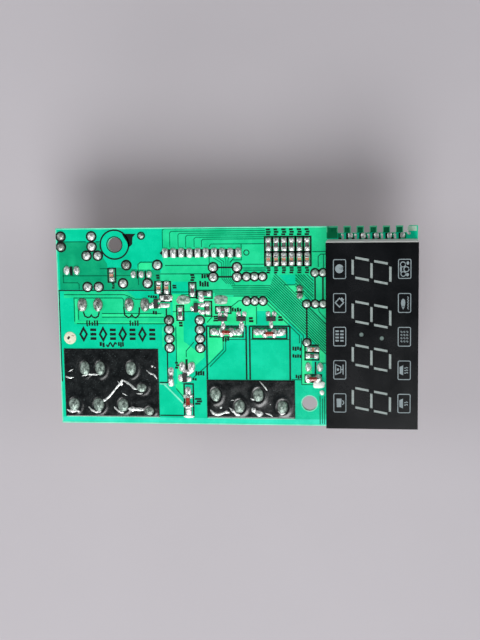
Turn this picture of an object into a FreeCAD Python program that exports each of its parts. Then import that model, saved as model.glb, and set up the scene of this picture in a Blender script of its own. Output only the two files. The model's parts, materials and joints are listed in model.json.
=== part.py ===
"""Oven control board: a printed circuit board that lies on its components, copper side up.

The frame is +X along the board's long side, +Y along its short side and +Z out of the copper side.
The origin is under the middle of the board, on the surface that the transformer stands on.
Places on the board are given as distances from its upper left corner: x to the right and y down the
copper side. Depths are measured down from the board's lower face, and heights up from its copper face.
"""
import FreeCAD, Part
import math
import os
import Sketcher

V = FreeCAD.Vector

doc = FreeCAD.newDocument("oven_control_board")
dims = doc.addObject("Spreadsheet::Sheet", "Dims")

DIMENSIONS = (
    ("board_length", 112.0, "board, long side"),
    ("board_width", 62.0, "board, short side"),
    ("board_thick", 1.6, "board thickness"),
    ("board_base", 30.0, "height of the board's lower face over the table"),
    ("mount_radius", 2.35, "mounting hole radius"),
    ("mount_left_x", 18.9, "left mounting hole, from the left edge"),
    ("mount_left_y", 5.3, "left mounting hole, from the upper edge"),
    ("mount_right_x", 79.1, "right mounting hole, from the left edge"),
    ("mount_right_y", 54.9, "right mounting hole, from the upper edge"),
    ("tab_pitch", 3.93, "pitch of the tabs along the upper edge"),
    ("tab_count", 5, "tabs along the upper edge"),
    ("notch_start", 87.97, "left side of the first notch"),
    ("notch_width", 1.73, "gap between two tabs"),
    ("notch_deep", 2.1, "depth of the notches"),
    ("slot_start", 89.2, "left side of the first slot"),
    ("slot_width", 0.6, "slot across"),
    ("slot_top", 2.45, "slots, from the upper edge"),
    ("slot_long", 1.5, "slot length"),
    ("hole_play", 0.15, "radial play of a lead in its hole"),
    ("joint_height", 1.0, "solder joint height"),
    ("sheet_thick", 0.25, "insulating sheet thickness"),
    ("case_left", 84.8, "display case, left side"),
    ("case_top", 4.0, "display case, upper side"),
    ("case_wide", 27.0, "display case across"),
    ("case_long", 56.0, "display case length"),
    ("case_high", 10.7, "display case height over the board"),
    ("case_wall", 1.1, "display case wall"),
    ("case_cavity", 3.3, "height of the space under the light wells"),
    ("film_thick", 0.3, "display face film"),
    ("film_overhang", 0.1, "film edge past the case at the sides"),
    ("digit_pitch", 13.0, "distance from digit to digit"),
    ("digit_slant", 0.19, "sideways lean of a digit for its height"),
    ("bar_gap", 5.5, "distance from a digit's bar to its next bar"),
    ("bar_long", 4.75, "length of a bar"),
    ("stroke_wide", 0.85, "width of a bar or stroke"),
    ("stroke_side", 2.95, "distance of a stroke from the digit's middle line"),
    ("icon_pitch", 10.06, "distance from pictogram to pictogram"),
    ("icon_wide", 3.4, "pictogram window across"),
    ("icon_high", 5.4, "pictogram window length"),
    ("core_wide", 34.0, "transformer laminations, length"),
    ("core_stack", 13.6, "transformer laminations, stack"),
    ("core_yoke", 5.0, "transformer laminations, yoke and I"),
    ("core_leg", 4.8, "transformer laminations, outer leg"),
    ("core_middle", 9.6, "transformer laminations, middle leg"),
    ("core_gap", 0.6, "I core, below the board"),
    ("core_x", 17.6, "transformer middle, from the left edge"),
    ("core_y", 34.1, "transformer middle, from the upper edge"),
    ("pin_row", 10.1, "transformer pin rows, from its middle"),
    ("bobbin_wide", 23.6, "transformer bobbin flange, in the window"),
    ("bobbin_long", 28.4, "transformer bobbin flange, through the window"),
    ("relay_wide", 12.6, "relay cover across"),
    ("relay_long", 29.0, "relay cover length"),
    ("relay_high", 15.4, "relay cover height"),
    ("relay_wall", 0.55, "relay cover wall"),
    ("relay_lift", 0.3, "relay cover, below the board"),
    ("relay_y", 30.7, "relay's upper end, from the board's upper edge"),
    ("relay_left_x", 53.4, "left relay, middle line"),
    ("relay_right_x", 66.9, "right relay, middle line"),
    ("relay_open_angle", 5.0, "armature opening angle"),
    ("pivot_depth", 2.6, "armature pivot, below the board"),
    ("pivot_along", 16.95, "armature pivot, along the relay"),
    ("armature_thick", 1.0, "armature plate"),
    ("diode_pitch", 2.9, "distance from diode to diode"),
)

for row, (alias, value, meaning) in enumerate(DIMENSIONS, start=1):
    dims.set(f"A{row}", meaning)
    dims.set(f"B{row}", str(value))
    dims.setAlias(f"B{row}", alias)
doc.recompute()

nodes = []


# ---- expressions, places and simple solids -------------------------------------------------------

def text(value):
    """The text of an expression: a number is written out, and a string is one already."""
    return value if isinstance(value, str) else f"{value:.5f}"


def size(alias):
    return float(getattr(dims, alias))


def board_x(value):
    return f"({text(value)}) - Dims.board_length / 2"


def board_y(value):
    return f"Dims.board_width / 2 - ({text(value)})"


def below(depth):
    return f"Dims.board_base - ({text(depth)})"


def above(height):
    return f"Dims.board_base + Dims.board_thick + ({text(height)})"


def point(x, y, z):
    """A place on the board as a vector of the part's frame; z is a height over the table."""
    return V(x - size("board_length") / 2, size("board_width") / 2 - y, z)


def place(item, x, y, z):
    for axis, value in zip("xyz", (x, y, z)):
        item.setExpression(f"Placement.Base.{axis}", text(value))


def node(item, label):
    """Makes an object a sub-part: its label is its file's name."""
    item.Label = label
    nodes.append(item)
    return item


def block(name, x, y, low, high):
    """A box over board distances x and y, each a pair, between two heights."""
    item = doc.addObject("Part::Box", name)
    item.setExpression("Length", f"({text(x[1])}) - ({text(x[0])})")
    item.setExpression("Width", f"({text(y[1])}) - ({text(y[0])})")
    item.setExpression("Height", f"({text(high)}) - ({text(low)})")
    place(item, board_x(x[0]), board_y(y[1]), low)
    return item


def post(name, x, y, radius, low, high):
    """An upright cylinder."""
    item = doc.addObject("Part::Cylinder", name)
    item.setExpression("Radius", text(radius))
    item.setExpression("Height", f"({text(high)}) - ({text(low)})")
    place(item, board_x(x), board_y(y), low)
    return item


def lying(name, x, y, radius, depth, across=False):
    """A cylinder along the board's short side, or across it, over a pair of distances."""
    item = doc.addObject("Part::Cylinder", name)
    item.setExpression("Radius", text(radius))
    span = x if across else y
    item.setExpression("Height", f"({text(span[1])}) - ({text(span[0])})")
    turn = FreeCAD.Rotation(V(0, 1, 0), 90) if across else FreeCAD.Rotation(V(1, 0, 0), -90)
    item.Placement = FreeCAD.Placement(V(), turn)
    if across:
        place(item, board_x(x[0]), board_y(y), below(depth))
    else:
        place(item, board_x(x), board_y(y[1]), below(depth))
    return item


def fuse(name, *parts):
    item = doc.addObject("Part::MultiFuse", name)
    item.Shapes = list(parts)
    return item


def group(name, parts):
    """Separate solids that share one sub-part."""
    item = doc.addObject("Part::Compound", name)
    item.Links = list(parts)
    return item


def cut(name, base, *tools):
    item = doc.addObject("Part::Cut", name)
    item.Base = base
    item.Tool = tools[0] if len(tools) == 1 else group(f"{name}_tools", tools)
    return item


def feature(name, shape):
    """A solid that this script shapes itself, from sizes in the sheet."""
    item = doc.addObject("Part::Feature", name)
    item.Shape = shape
    return item


# ---- sketched solids -----------------------------------------------------------------------------

def number(expression):
    return float(dims.evalExpression(text(expression)))


def sketch_in(body, name):
    sketch = body.newObject("Sketcher::SketchObject", name)
    plane = next(item for item in body.Origin.OriginFeatures if item.Role == "XY_Plane")
    sketch.AttachmentSupport = (plane, [""])
    sketch.MapMode = "FlatFace"
    return sketch


def measure(sketch, kind, ends, expression):
    """A distance or radius constraint whose value is bound to the sheet."""
    index = sketch.addConstraint(Sketcher.Constraint(kind, *ends, number(expression)))
    sketch.setExpression(f"Constraints[{index}]", text(expression))


def from_origin(sketch, corner, left, bottom):
    """Ties a point to the sketch's origin by its two distances."""
    for kind, axis, value in (("DistanceX", -2, left), ("DistanceY", -1, bottom)):
        if number(value) == 0:
            sketch.addConstraint(Sketcher.Constraint("PointOnObject", *corner, axis))
        else:
            measure(sketch, kind, (-1, 1, *corner), value)


def add_rectangle(sketch, left, bottom, width, height):
    x, y, wide, high = (number(value) for value in (left, bottom, width, height))
    corners = (V(x, y), V(x + wide, y), V(x + wide, y + high), V(x, y + high))
    first = sketch.GeometryCount
    for index in range(4):
        sketch.addGeometry(Part.LineSegment(corners[index], corners[(index + 1) % 4]), False)
    for index in range(4):
        following = first + (index + 1) % 4
        sketch.addConstraint(Sketcher.Constraint("Coincident", first + index, 2, following, 1))
    for index, direction in enumerate(("Horizontal", "Vertical", "Horizontal", "Vertical")):
        sketch.addConstraint(Sketcher.Constraint(direction, first + index))
    measure(sketch, "DistanceX", (first, 1, first, 2), width)
    measure(sketch, "DistanceY", (first + 1, 1, first + 1, 2), height)
    from_origin(sketch, (first, 1), left, bottom)


def add_circle(sketch, x, y, radius):
    index = sketch.GeometryCount
    centre = V(number(x), number(y))
    sketch.addGeometry(Part.Circle(centre, V(0, 0, 1), number(radius)), False)
    measure(sketch, "Radius", (index,), radius)
    from_origin(sketch, (index, 3), x, y)


def pad(body, sketch, length):
    item = body.newObject("PartDesign::Pad", f"{body.Name}_pad")
    item.Profile = sketch
    item.setExpression("Length", text(length))
    return item


def pocket(body, sketch, name, length=None):
    """Cuts upwards from the sketch, right through or to a length."""
    item = body.newObject("PartDesign::Pocket", name)
    item.Profile = sketch
    item.Reversed = True
    if length is None:
        item.Type = "ThroughAll"
    else:
        item.Type = "Length"
        item.setExpression("Length", text(length))
    return item


def row_of(body, original, sketch, pitch, count):
    """Repeats a pocket along the sketch's first axis."""
    item = body.newObject("PartDesign::LinearPattern", f"{original.Name}_row")
    item.Originals = [original]
    item.Direction = (sketch, ["H_Axis"])
    item.setExpression("Length", f"({text(pitch)}) * (({text(count)}) - 1)")
    item.setExpression("Occurrences", text(count))
    body.Tip = item
    return item


# ---- through-hole leads: every lead that passes the board, as x, y and radius ---------------------

SECONDARY_PINS = ((7.9, 0.4), (12.9, 0.4), (22.9, 0.4), (27.9, 0.4))
PRIMARY_PINS = SECONDARY_PINS[:3]
MAINS_X = (4.2, 12.1, 20.0)
MAINS_Y = 56.0
VARISTOR_LEADS = ((26.2, 50.5), (28.4, 57.9))
KEYPAD_X = [34.7 + 2.54 * index for index in range(10)]
KEYPAD_Y = 7.9
DIODE_X = (35.4, 45.1)
DIODE_Y = [28.9 + size("diode_pitch") * index for index in range(4)]
SMALL_AXIAL = (
    ((1.6, 2.6), (11.4, 2.6)),
    ((1.6, 5.8), (11.4, 5.8)),
    ((9.7, 8.6), (9.7, 18.4)),
    ((13.3, 8.6), (13.3, 18.4)),
    ((22.3, 11.6), (32.1, 11.6)),
    ((21.1, 17.3), (28.9, 17.3)),
)
POWER_AXIAL = ((40.0, 22.5), (51.9, 22.5))
WIRE_LINKS = (
    ((49.6, 12.4), (57.0, 12.4)),
    ((49.6, 15.4), (57.0, 15.4)),
    ((81.0, 14.2), (81.0, 23.8)),
    ((83.4, 14.2), (83.4, 23.8)),
    ((78.4, 23.8), (78.4, 35.8)),
)
TRANSISTOR_LEADS = ((24.5, 14.5), (27.0, 14.5), (29.5, 14.5))
CAPACITORS = (
    # centre x, centre y, radius, height, lead spacing, leads across the board
    (40.8, 43.4, 4.0, 12.0, 3.2, True),
    (4.8, 13.2, 3.15, 11.0, 3.2, True),
    (80.6, 43.5, 4.0, 12.0, 3.6, True),
    (76.3, 20.1, 2.5, 11.0, 2.2, False),
)
OPTO_X = (59.9, 62.4, 64.9)
OPTO_ROWS = (15.3, 22.9)
CHIP_CENTRE = (97.1, 34.0)
CHIP_PITCH = 1.778
CHIP_PINS = 16
CHIP_ROW = 5.08
RESONATOR_X = (94.6, 97.1, 99.6)
RESONATOR_Y = 13.5
BUZZER_X = (93.3, 100.9)
BUZZER_Y = 54.4
DISPLAY_PIN_X = (87.2, 109.4)
DISPLAY_PIN_Y = [15.5 + 2.54 * index for index in range(14)]
RELAY_COIL = 1.8
RELAY_PIN_SIDE = 3.8
RELAY_FIXED = 21.7
RELAY_SPRING = 25.4
RELAYS = (("relay_left", "relay_left_x"), ("relay_right", "relay_right_x"))


def capacitor_leads(centre_x, centre_y, spacing, across):
    step = spacing / 2
    if across:
        return ((centre_x - step, centre_y), (centre_x + step, centre_y))
    return ((centre_x, centre_y - step), (centre_x, centre_y + step))


def chip_pin_places():
    centre_x, centre_y = CHIP_CENTRE
    for side in (-CHIP_ROW, CHIP_ROW):
        for index in range(CHIP_PINS):
            yield centre_x + side, centre_y + (index - (CHIP_PINS - 1) / 2) * CHIP_PITCH, side


def relay_pin_places():
    """Each relay pin's middle, as x, y and radius of its hole's pin."""
    for _, centre in RELAYS:
        middle = size(centre)
        top = size("relay_y")
        yield middle - RELAY_PIN_SIDE, top + RELAY_COIL, 0.35
        yield middle + RELAY_PIN_SIDE, top + RELAY_COIL, 0.35
        yield middle - RELAY_PIN_SIDE, top + RELAY_FIXED, 0.75
        yield middle + RELAY_PIN_SIDE, top + RELAY_SPRING, 0.75


def lead_places():
    row = size("pin_row")
    middle = size("core_y")
    for x, radius in SECONDARY_PINS:
        yield x, middle - row, radius
    for x, radius in PRIMARY_PINS:
        yield x, middle + row, radius
    for x in MAINS_X:
        yield x, MAINS_Y, 0.8
    for x, y in VARISTOR_LEADS:
        yield x, y, 0.3
    for x in KEYPAD_X:
        yield x, KEYPAD_Y, 0.36
    for x in DIODE_X:
        for y in DIODE_Y:
            yield x, y, 0.4
    for ends in (*SMALL_AXIAL, *WIRE_LINKS):
        for x, y in ends:
            yield x, y, 0.3
    for x, y in POWER_AXIAL:
        yield x, y, 0.4
    for x, y in TRANSISTOR_LEADS:
        yield x, y, 0.25
    for centre_x, centre_y, _, _, spacing, across in CAPACITORS:
        for x, y in capacitor_leads(centre_x, centre_y, spacing, across):
            yield x, y, 0.25
    for x in OPTO_X:
        for y in OPTO_ROWS:
            yield x, y, 0.3
    for x, y, _ in chip_pin_places():
        yield x, y, 0.3
    for x in RESONATOR_X:
        yield x, RESONATOR_Y, 0.25
    for x in BUZZER_X:
        yield x, BUZZER_Y, 0.3
    for x in DISPLAY_PIN_X:
        for y in DISPLAY_PIN_Y:
            yield x, y, 0.36
    yield from relay_pin_places()


# ---- board ---------------------------------------------------------------------------------------

def make_board():
    body = doc.addObject("PartDesign::Body", "board_blank")
    outline = sketch_in(body, "board_outline")
    add_rectangle(outline, 0, 0, "Dims.board_length", "Dims.board_width")
    pad(body, outline, "Dims.board_thick")
    notch = sketch_in(body, "tab_notch")
    add_rectangle(notch, "Dims.notch_start", "Dims.board_width - Dims.notch_deep",
                  "Dims.notch_width", "Dims.notch_deep")
    notches = pocket(body, notch, "notch_cut")
    row_of(body, notches, notch, "Dims.tab_pitch", "Dims.tab_count + 1")
    slot = sketch_in(body, "edge_slot")
    add_rectangle(slot, "Dims.slot_start", "Dims.board_width - Dims.slot_top - Dims.slot_long",
                  "Dims.slot_width", "Dims.slot_long")
    slots = pocket(body, slot, "slot_cut")
    row_of(body, slots, slot, "Dims.tab_pitch", "Dims.tab_count")
    mounts = sketch_in(body, "mounting_holes")
    for side in ("left", "right"):
        add_circle(mounts, f"Dims.mount_{side}_x", f"Dims.board_width - Dims.mount_{side}_y",
                   "Dims.mount_radius")
    body.Tip = pocket(body, mounts, "mounting_hole_cut")
    place(body, "-Dims.board_length / 2", "-Dims.board_width / 2", "Dims.board_base")

    holes = [
        post(f"lead_hole_{index}", x, y, f"{radius} + Dims.hole_play", below(1), above(1))
        for index, (x, y, radius) in enumerate(lead_places())
    ]
    node(cut("circuit_board", body, *holes), "circuit_board")


# ---- solder joints and the sheets over some of them ----------------------------------------------

ROUND_JOINT = (1.35, 1.35)


def solder_joint_places():
    """Each joint on the copper side: x, y and half sizes along x and y."""
    for x, _ in SECONDARY_PINS:
        yield x, size("core_y") - size("pin_row"), 1.5, 2.1
    for x, _ in PRIMARY_PINS:
        yield x, size("core_y") + size("pin_row"), 1.6, 2.2
    for x in MAINS_X:
        yield x, MAINS_Y, 1.7, 2.1
    for x, y in VARISTOR_LEADS:
        yield x, y, 1.5, 1.4
    for x in KEYPAD_X:
        yield x, KEYPAD_Y, 0.95, 1.5
    for x in DIODE_X:
        for y in DIODE_Y:
            yield x, y, *ROUND_JOINT
    for ends in (*SMALL_AXIAL, *WIRE_LINKS[:2]):
        for x, y in ends:
            yield x, y, *ROUND_JOINT
    for x, y in POWER_AXIAL:
        yield x, y, 2.1, 1.4
    for x, y in TRANSISTOR_LEADS:
        yield x, y, 0.85, 1.1
    for centre_x, centre_y, _, _, spacing, across in CAPACITORS:
        half = (0.98, 1.4) if across else (1.0, 0.95)
        for x, y in capacitor_leads(centre_x, centre_y, spacing, across):
            yield x, y, *half
    for x in OPTO_X:
        for y in OPTO_ROWS:
            yield x, y, 1.22, 1.22
    for ends in WIRE_LINKS[2:]:
        for x, y in ends:
            yield x, y, 1.15, 1.15
    for x, y, radius in relay_pin_places():
        if radius > 0.5:
            yield x, y, 1.65, 2.1
        else:
            yield x, y, 1.3, 1.1


def oval(x, y, half_x, half_y, low, high):
    """An upright solid whose section is a circle, or a slot along its longer way."""
    small = min(half_x, half_y)
    reach = max(half_x, half_y) - small
    step = V(reach, 0, 0) if half_x > half_y else V(0, reach, 0)
    centre = point(x, y, low)
    height = high - low
    solid = Part.makeCylinder(small, height, centre)
    if reach < 0.01:
        return solid
    along = (centre - step, centre + step)
    side = V(step.y, -step.x, 0).normalize() * small
    corners = (along[0] + side, along[1] + side, along[1] - side, along[0] - side)
    slab = Part.Face(Part.makePolygon([*corners, corners[0]])).extrude(V(0, 0, height))
    ends = [Part.makeCylinder(small, height, end) for end in along]
    return slab.multiFuse(ends).removeSplitter()


def make_solder_joints():
    foot = size("board_base") + size("board_thick")
    tall = size("joint_height")
    solids = []
    for x, y, half_x, half_y in solder_joint_places():
        wide = oval(x, y, half_x, half_y, foot, foot + tall * 0.5)
        narrow = oval(x, y, half_x * 0.55, half_y * 0.55, foot + tall * 0.5, foot + tall)
        solids.append(wide.fuse(narrow).removeSplitter())
    node(feature("solder_joints", Part.makeCompound(solids)), "solder_joints")


def make_sheet(label, x, y):
    """A thin black sheet on the copper side, with a hole round each joint that it covers."""
    plate = block(f"{label}_blank", x, y, above(0), above("Dims.sheet_thick"))
    foot = size("board_base") + size("board_thick")
    clear = 0.12
    holes = []
    for joint_x, joint_y, half_x, half_y in solder_joint_places():
        if x[0] < joint_x < x[1] and y[0] < joint_y < y[1]:
            holes.append(oval(joint_x, joint_y, half_x + clear, half_y + clear, foot - 1, foot + 1))
    holes = feature(f"{label}_holes", Part.makeCompound(holes))
    node(cut(label, plate, holes), label)


def make_inspection_dot():
    node(post("inspection_dot", 3.5, 34.6, 1.95, above(0), above(0.12)), "inspection_dot")


# ---- surface-mount parts -------------------------------------------------------------------------

ARRAY_X = [66.8 + 2.37 * index for index in range(6)]
SMALL_RESISTORS = (
    # x, y, lying across the board
    *((x, 5.45, False) for x in ARRAY_X),
    (43.0, 19.4, False),
    (47.7, 25.0, False),
    (39.0, 26.7, False),
    (52.4, 25.5, True),
    (46.9, 20.6, True),
    (34.7, 21.9, True),
    (80.0, 40.0, True),
    (35.6, 46.9, False),
)
SMALL_CAPACITORS = (
    *((x, 9.9, False) for x in ARRAY_X),
    (17.6, 14.7, False),
    (32.4, 18.6, False),
    (34.9, 18.6, False),
    (80.3, 37.8, True),
)
SMALL_TRANSISTORS = (
    # x, y and the side of the single leg: angle from +Y, anticlockwise
    (52.3, 28.4, 180),
    (58.1, 28.4, 180),
    (67.4, 28.4, 180),
    (31.4, 23.7, 90),
    (44.0, 24.9, 90),
    (40.0, 47.0, 90),
)
GLASS_DIODES = (
    (53.4, 32.6, True),
    (66.9, 33.0, True),
    (40.9, 54.5, False),
    (80.3, 47.1, True),
)
CHIP_LONG = 2.0
CHIP_WIDE = 1.25
GLASS_RADIUS = 0.7
GLASS_LONG = 2.4
CAP_LONG = 0.5


def chip(name, x, y, across, height):
    half = (CHIP_LONG / 2, CHIP_WIDE / 2) if across else (CHIP_WIDE / 2, CHIP_LONG / 2)
    return block(name, (x - half[0], x + half[0]), (y - half[1], y + half[1]), above(0.05),
                 above(0.05 + height))


def make_chips(label, places, height):
    chips = [chip(f"{label}_{index}", *spot, height) for index, spot in enumerate(places)]
    node(group(label, chips), label)


def make_small_transistors():
    """Bodies 2.9 x 1.3 mm, and three stepped legs each: one on one side and two on the other."""
    bodies = []
    legs = []
    foot = size("board_base") + size("board_thick")
    for x, y, angle in SMALL_TRANSISTORS:
        spin = FreeCAD.Placement(point(x, y, foot), FreeCAD.Rotation(V(0, 0, 1), angle))
        solid = Part.makeBox(2.9, 1.3, 0.95, V(-1.45, -0.65, 0.1))
        bodies.append(solid.transformed(spin.toMatrix()))
        for leg_x, side in ((0, 1), (-0.95, -1), (0.95, -1)):
            profile = ((0.65, 0.45), (0.65, 0.6), (0.95, 0.6), (0.95, 0.15), (1.25, 0.15),
                       (1.25, 0.02), (0.82, 0.02), (0.82, 0.45))
            corners = [V(leg_x - 0.2, side * along, up) for along, up in profile]
            leg = Part.Face(Part.makePolygon([*corners, corners[0]])).extrude(V(0.4, 0, 0))
            legs.append(leg.transformed(spin.toMatrix()))
    node(feature("small_transistors", Part.makeCompound(bodies)), "small_transistors")
    node(feature("small_transistor_legs", Part.makeCompound(legs)), "small_transistor_legs")


def make_glass_diodes():
    """Glass cylinders that lie on the board between two plated end caps."""
    glass = []
    caps = []
    depth = f"-Dims.board_thick - {GLASS_RADIUS + 0.08}"
    for index, (x, y, across) in enumerate(GLASS_DIODES):
        half = GLASS_LONG / 2
        middle, aside = (x, y) if across else (y, x)
        for part, start, end, radius in (
            ("glass", middle - half, middle + half, GLASS_RADIUS),
            ("cap_a", middle - half - CAP_LONG, middle - half, GLASS_RADIUS + 0.05),
            ("cap_b", middle + half, middle + half + CAP_LONG, GLASS_RADIUS + 0.05),
        ):
            span = (start, end)
            spot = (span, aside) if across else (aside, span)
            solid = lying(f"glass_diode_{index}_{part}", *spot, radius, depth, across)
            (glass if part == "glass" else caps).append(solid)
    node(group("glass_diodes", glass), "glass_diodes")
    node(group("glass_diode_caps", caps), "glass_diode_caps")


# ---- display -------------------------------------------------------------------------------------

DIGIT_COUNT = 4
DIGIT_FOOT_X = 92.65
DIGIT_MIDDLE_Y = 12.6
COLON = ((95.2, 31.6), (101.2, 32.7))
COLON_RADIUS = 0.75
ICON_X = (88.75, 107.85)
ICON_FIRST_Y = 12.1
ICON_COUNT = 5
STROKE_SHORT = 4.2


def slanted(x, y, along_x, long, shrink):
    """A segment's four corners. The digits lie on their side: their upright is the board's x."""
    half = long / 2 - shrink
    thick = size("stroke_wide") / 2 - shrink
    lean = size("digit_slant")
    if along_x:
        return ((x - half, y - half * lean - thick), (x + half, y + half * lean - thick),
                (x + half, y + half * lean + thick), (x - half, y - half * lean + thick))
    skew = thick * lean
    return ((x - thick, y - half - skew), (x + thick, y - half + skew),
            (x + thick, y + half + skew), (x - thick, y + half - skew))


def segment_corners(shrink):
    """The corners of all the segments of all the digits."""
    gap = size("bar_gap")
    lean = size("digit_slant")
    side = size("stroke_side")
    for digit in range(DIGIT_COUNT):
        middle_y = DIGIT_MIDDLE_Y + digit * size("digit_pitch")
        for level in (-1, 0, 1):
            x = DIGIT_FOOT_X + gap + level * gap
            yield slanted(x, middle_y + level * gap * lean, False, size("bar_long"), shrink)
        for level in (-0.5, 0.5):
            x = DIGIT_FOOT_X + gap + level * gap
            for way in (-side, side):
                y = middle_y + level * gap * lean + way
                yield slanted(x, y, True, STROKE_SHORT, shrink)


def segment_solids(shrink, low, high):
    """The segments and the two round dots as upright solids."""
    solids = []
    for corners in segment_corners(shrink):
        spots = [point(x, y, low) for x, y in corners]
        solids.append(Part.Face(Part.makePolygon([*spots, spots[0]])).extrude(V(0, 0, high - low)))
    for x, y in COLON:
        solids.append(Part.makeCylinder(COLON_RADIUS - shrink, high - low, point(x, y, low)))
    return solids


def icon_blocks(name, shrink, low, high):
    blocks = []
    for column, x in enumerate(ICON_X):
        for row in range(ICON_COUNT):
            half_x = f"(Dims.icon_wide / 2 - {shrink})"
            half_y = f"(Dims.icon_high / 2 - {shrink})"
            y = f"({ICON_FIRST_Y} + {row} * Dims.icon_pitch)"
            blocks.append(block(f"{name}_{column}_{row}", (f"{x} - {half_x}", f"{x} + {half_x}"),
                                (f"{y} - {half_y}", f"{y} + {half_y}"), low, high))
    return blocks


def make_display():
    foot = size("board_base") + size("board_thick")
    top = foot + size("case_high")
    play = 0.01

    body = doc.addObject("PartDesign::Body", "display_case_blank")
    outline = sketch_in(body, "display_case_outline")
    add_rectangle(outline, 0, 0, "Dims.case_wide", "Dims.case_long")
    pad(body, outline, "Dims.case_high")
    hollow = sketch_in(body, "display_case_hollow")
    add_rectangle(hollow, "Dims.case_wall", "Dims.case_wall", "Dims.case_wide - 2 * Dims.case_wall",
                  "Dims.case_long - 2 * Dims.case_wall")
    body.Tip = pocket(body, hollow, "display_case_cavity", "Dims.case_cavity")
    place(body, board_x("Dims.case_left"), board_y("Dims.case_top + Dims.case_long"), above(0))
    wells = feature("display_wells", Part.makeCompound(segment_solids(0, foot + 1, top + 1)))
    icon_wells = group("display_icon_wells", icon_blocks("icon_well", 0, above(1), above(12)))
    node(cut("display_housing", body, wells, icon_wells), "display_housing")

    film = block("display_film_blank",
                 ("Dims.case_left - Dims.film_overhang",
                  "Dims.case_left + Dims.case_wide + Dims.film_overhang"),
                 ("Dims.case_top + 0.35", "Dims.case_top + Dims.case_long + 0.2"),
                 above("Dims.case_high"), above("Dims.case_high + Dims.film_thick"))
    windows = feature("display_film_windows", Part.makeCompound(segment_solids(0, top - 1, top + 1)))
    node(cut("display_face_film", film, windows), "display_face_film")

    glow = feature("display_segments",
                   Part.makeCompound(segment_solids(play, top - 1.5, top + 0.2)))
    node(glow, "display_segments")
    icons = icon_blocks("icon_window", play, above("Dims.case_high - 1.5"), above("Dims.case_high"))
    node(group("display_icon_windows", icons), "display_icon_windows")

    inner = "(Dims.case_wall + 0.1)"
    plate = block("display_board_blank",
                  (f"Dims.case_left + {inner}", f"Dims.case_left + Dims.case_wide - {inner}"),
                  (f"Dims.case_top + {inner}", f"Dims.case_top + Dims.case_long - {inner}"),
                  above(2.2), above(3.2))
    pins = []
    pin_holes = []
    for column, x in enumerate(DISPLAY_PIN_X):
        for row, y in enumerate(DISPLAY_PIN_Y):
            mark = f"{column}_{row}"
            pins.append(post(f"display_pin_{mark}", x, y, 0.3, below(1.0), above(2.9)))
            pin_holes.append(post(f"display_pin_hole_{mark}", x, y, 0.32, above(2), above(2.9)))
    node(cut("display_circuit_board", plate, *pin_holes), "display_circuit_board")
    node(group("display_pins", pins), "display_pins")

    lights = []
    spots = [
        (sum(x for x, _ in corners) / 4, sum(y for _, y in corners) / 4)
        for corners in segment_corners(0)
    ]
    spots.extend(COLON)
    spots.extend((x, ICON_FIRST_Y + row * size("icon_pitch")) for x in ICON_X for row in range(5))
    for index, (x, y) in enumerate(spots):
        lights.append(block(f"light_chip_{index}", (x - 0.18, x + 0.18), (y - 0.18, y + 0.18),
                            above(3.2), above(3.45)))
    node(group("display_light_chips", lights), "display_light_chips")


# ---- transformer ---------------------------------------------------------------------------------

def around_core(name, half_x, half_y, low, high):
    """A box centred on the transformer's middle."""
    return block(name, (f"Dims.core_x - ({text(half_x)})", f"Dims.core_x + ({text(half_x)})"),
                 (f"Dims.core_y - ({text(half_y)})", f"Dims.core_y + ({text(half_y)})"), low, high)


def ring(name, outer, inner, low, high, corner=2.5):
    """A rounded rectangular ring about the transformer's middle leg."""
    middle = point(size("core_x"), size("core_y"), low)
    height = high - low

    def rounded(half_x, half_y, radius):
        solid = Part.makeBox(2 * half_x, 2 * half_y, height, middle - V(half_x, half_y, 0))
        edges = [edge for edge in solid.Edges if abs(edge.tangentAt(edge.FirstParameter).z) > 0.9]
        return solid.makeFillet(radius, edges)

    inner_box = Part.makeBox(2 * inner[0], 2 * inner[1], height + 2,
                             middle - V(inner[0], inner[1], 1))
    return rounded(*outer, corner).cut(inner_box)


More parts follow.
